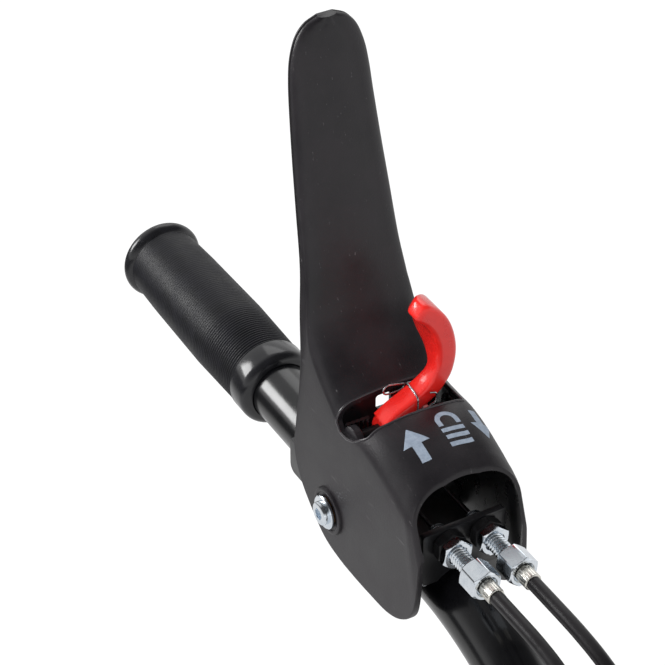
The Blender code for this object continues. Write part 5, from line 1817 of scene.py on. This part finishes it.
@dataclass
class CableArms:
    """The two arms that pull the inner wires, with the pin that they swing on."""

    pin_r: float = 2.5
    pin_head: float = 1.2  # how far its heads stand out round it
    heel_r: float = 5.0
    sheet: float = 2.4
    spread: float = 2.7  # half the gap between an arm's two walls
    top: tuple[float, float] = (-4.5, 45.5)
    nipple_y: float = -17.5
    nipple_r: float = 2.3
    nipple_gap: float = 0.55
    wire_front: float = -104.0
    lug_out: float = 17.55
    edge: float = 0.25

    def build(self) -> None:
        """Makes the pin, both arms and both inner wires."""
        out, head = self.lug_out, self.pin_r + self.pin_head
        right = [(out + GAP, self.pin_r), (out + GAP, head), (out + 1.3, head), (out + 1.8, self.pin_r + 0.7)]
        profile = [(-a, r) for a, r in reversed(right)] + right
        pin = make_object("cross_pin", turned(profile, (0, *ARM_PIN), X_AXIS, 48))
        present(pin, ZINC, Body.HANDLEBAR, "arm_pin")
        for side, arm_body, wire_body in ((Side.LEFT, Body.ARM_LEFT, Body.WIRE_LEFT),
                                          (Side.RIGHT, Body.ARM_RIGHT, Body.WIRE_RIGHT)):
            self.build_arm(side, arm_body)
            x = side.value * CABLE_X
            strand = bar((x, 0.0, CABLE_Z), self.wire_front, self.nipple_y, WIRE_R, Y_AXIS)
            wire = make_object(side.label("pull_wire"), strand)
            reach = self.spread + self.sheet - 0.2
            nipple = bar((x, self.nipple_y, CABLE_Z), -reach, reach, self.nipple_r, edge=0.3)
            combine(wire, nipple, Cut.JOIN)
            # The inner wires are darkened as painted shade inside the housing.
            present(wire, SHADED_WIRE, wire_body, side.label("inner_wire"))

    def build_arm(self, side: Side, body: Body) -> None:
        """Makes one arm of folded sheet.

        Args:
            side: The cable that it pulls.
            body: The body that it rides on.
        """
        x, (y, z), (top_y, top_z) = side.value * CABLE_X, ARM_PIN, self.top
        heel, front = arc((y, z), self.heel_r, 205, 345, 20), self.nipple_y - 4.6
        outline = rounded(heel + [(top_y + 3.5, top_z), (top_y - 4.0, top_z), (front, CABLE_Z + 4.0),
                                  (front, CABLE_Z - 3.0)], (0,) * len(heel) + (2.5, 2.5, 3, 3), 6)
        walls = prism(outline, x - self.spread - self.sheet, x + self.spread + self.sheet)
        arm = make_object(side.label("pull_arm"), walls)
        gap = rectangle(y - 30, z - 30, top_y + 30, top_z - 4.0)
        combine(arm, prism(gap, x - self.spread, x + self.spread))
        combine(arm, bar((x, y, z), -10, 10, self.pin_r + 0.1))
        wide, tall = self.nipple_r + self.nipple_gap, self.nipple_r + self.nipple_gap + 0.5
        seat = rounded(rectangle(self.nipple_y - wide, CABLE_Z - tall, self.nipple_y + wide, CABLE_Z + tall),
                       (2.2,) * 4)
        combine(arm, prism(seat, x - 10, x + 10))
        soften(arm, self.edge)
        present(arm, ZINC, body, side.label("cable_arm"))


def main() -> None:
    """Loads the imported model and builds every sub-assembly."""
    logging.basicConfig(level=logging.INFO, format="%(name)s: %(message)s")
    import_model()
    studio = Studio()
    studio.build_camera()
    handlebar = Handlebar()
    tie = CableTie(handlebar).build()
    lines = [CableLine(side, handlebar) for side in Side]
    for line, extras in zip(lines, ([tie], [])):
        line.build_cord([line.build_end(), *extras])
    for line in lines:
        line.build_fittings()
    handlebar.build()
    ControlBracket().build()
    ControlLever().build()
    for side in Side:
        Pivot(side).build()
    Selector().build()
    CableArms().build()
    studio.build_world()
    studio.build_floor()
    studio.build_lamps()


if __name__ == "__main__":
    main()
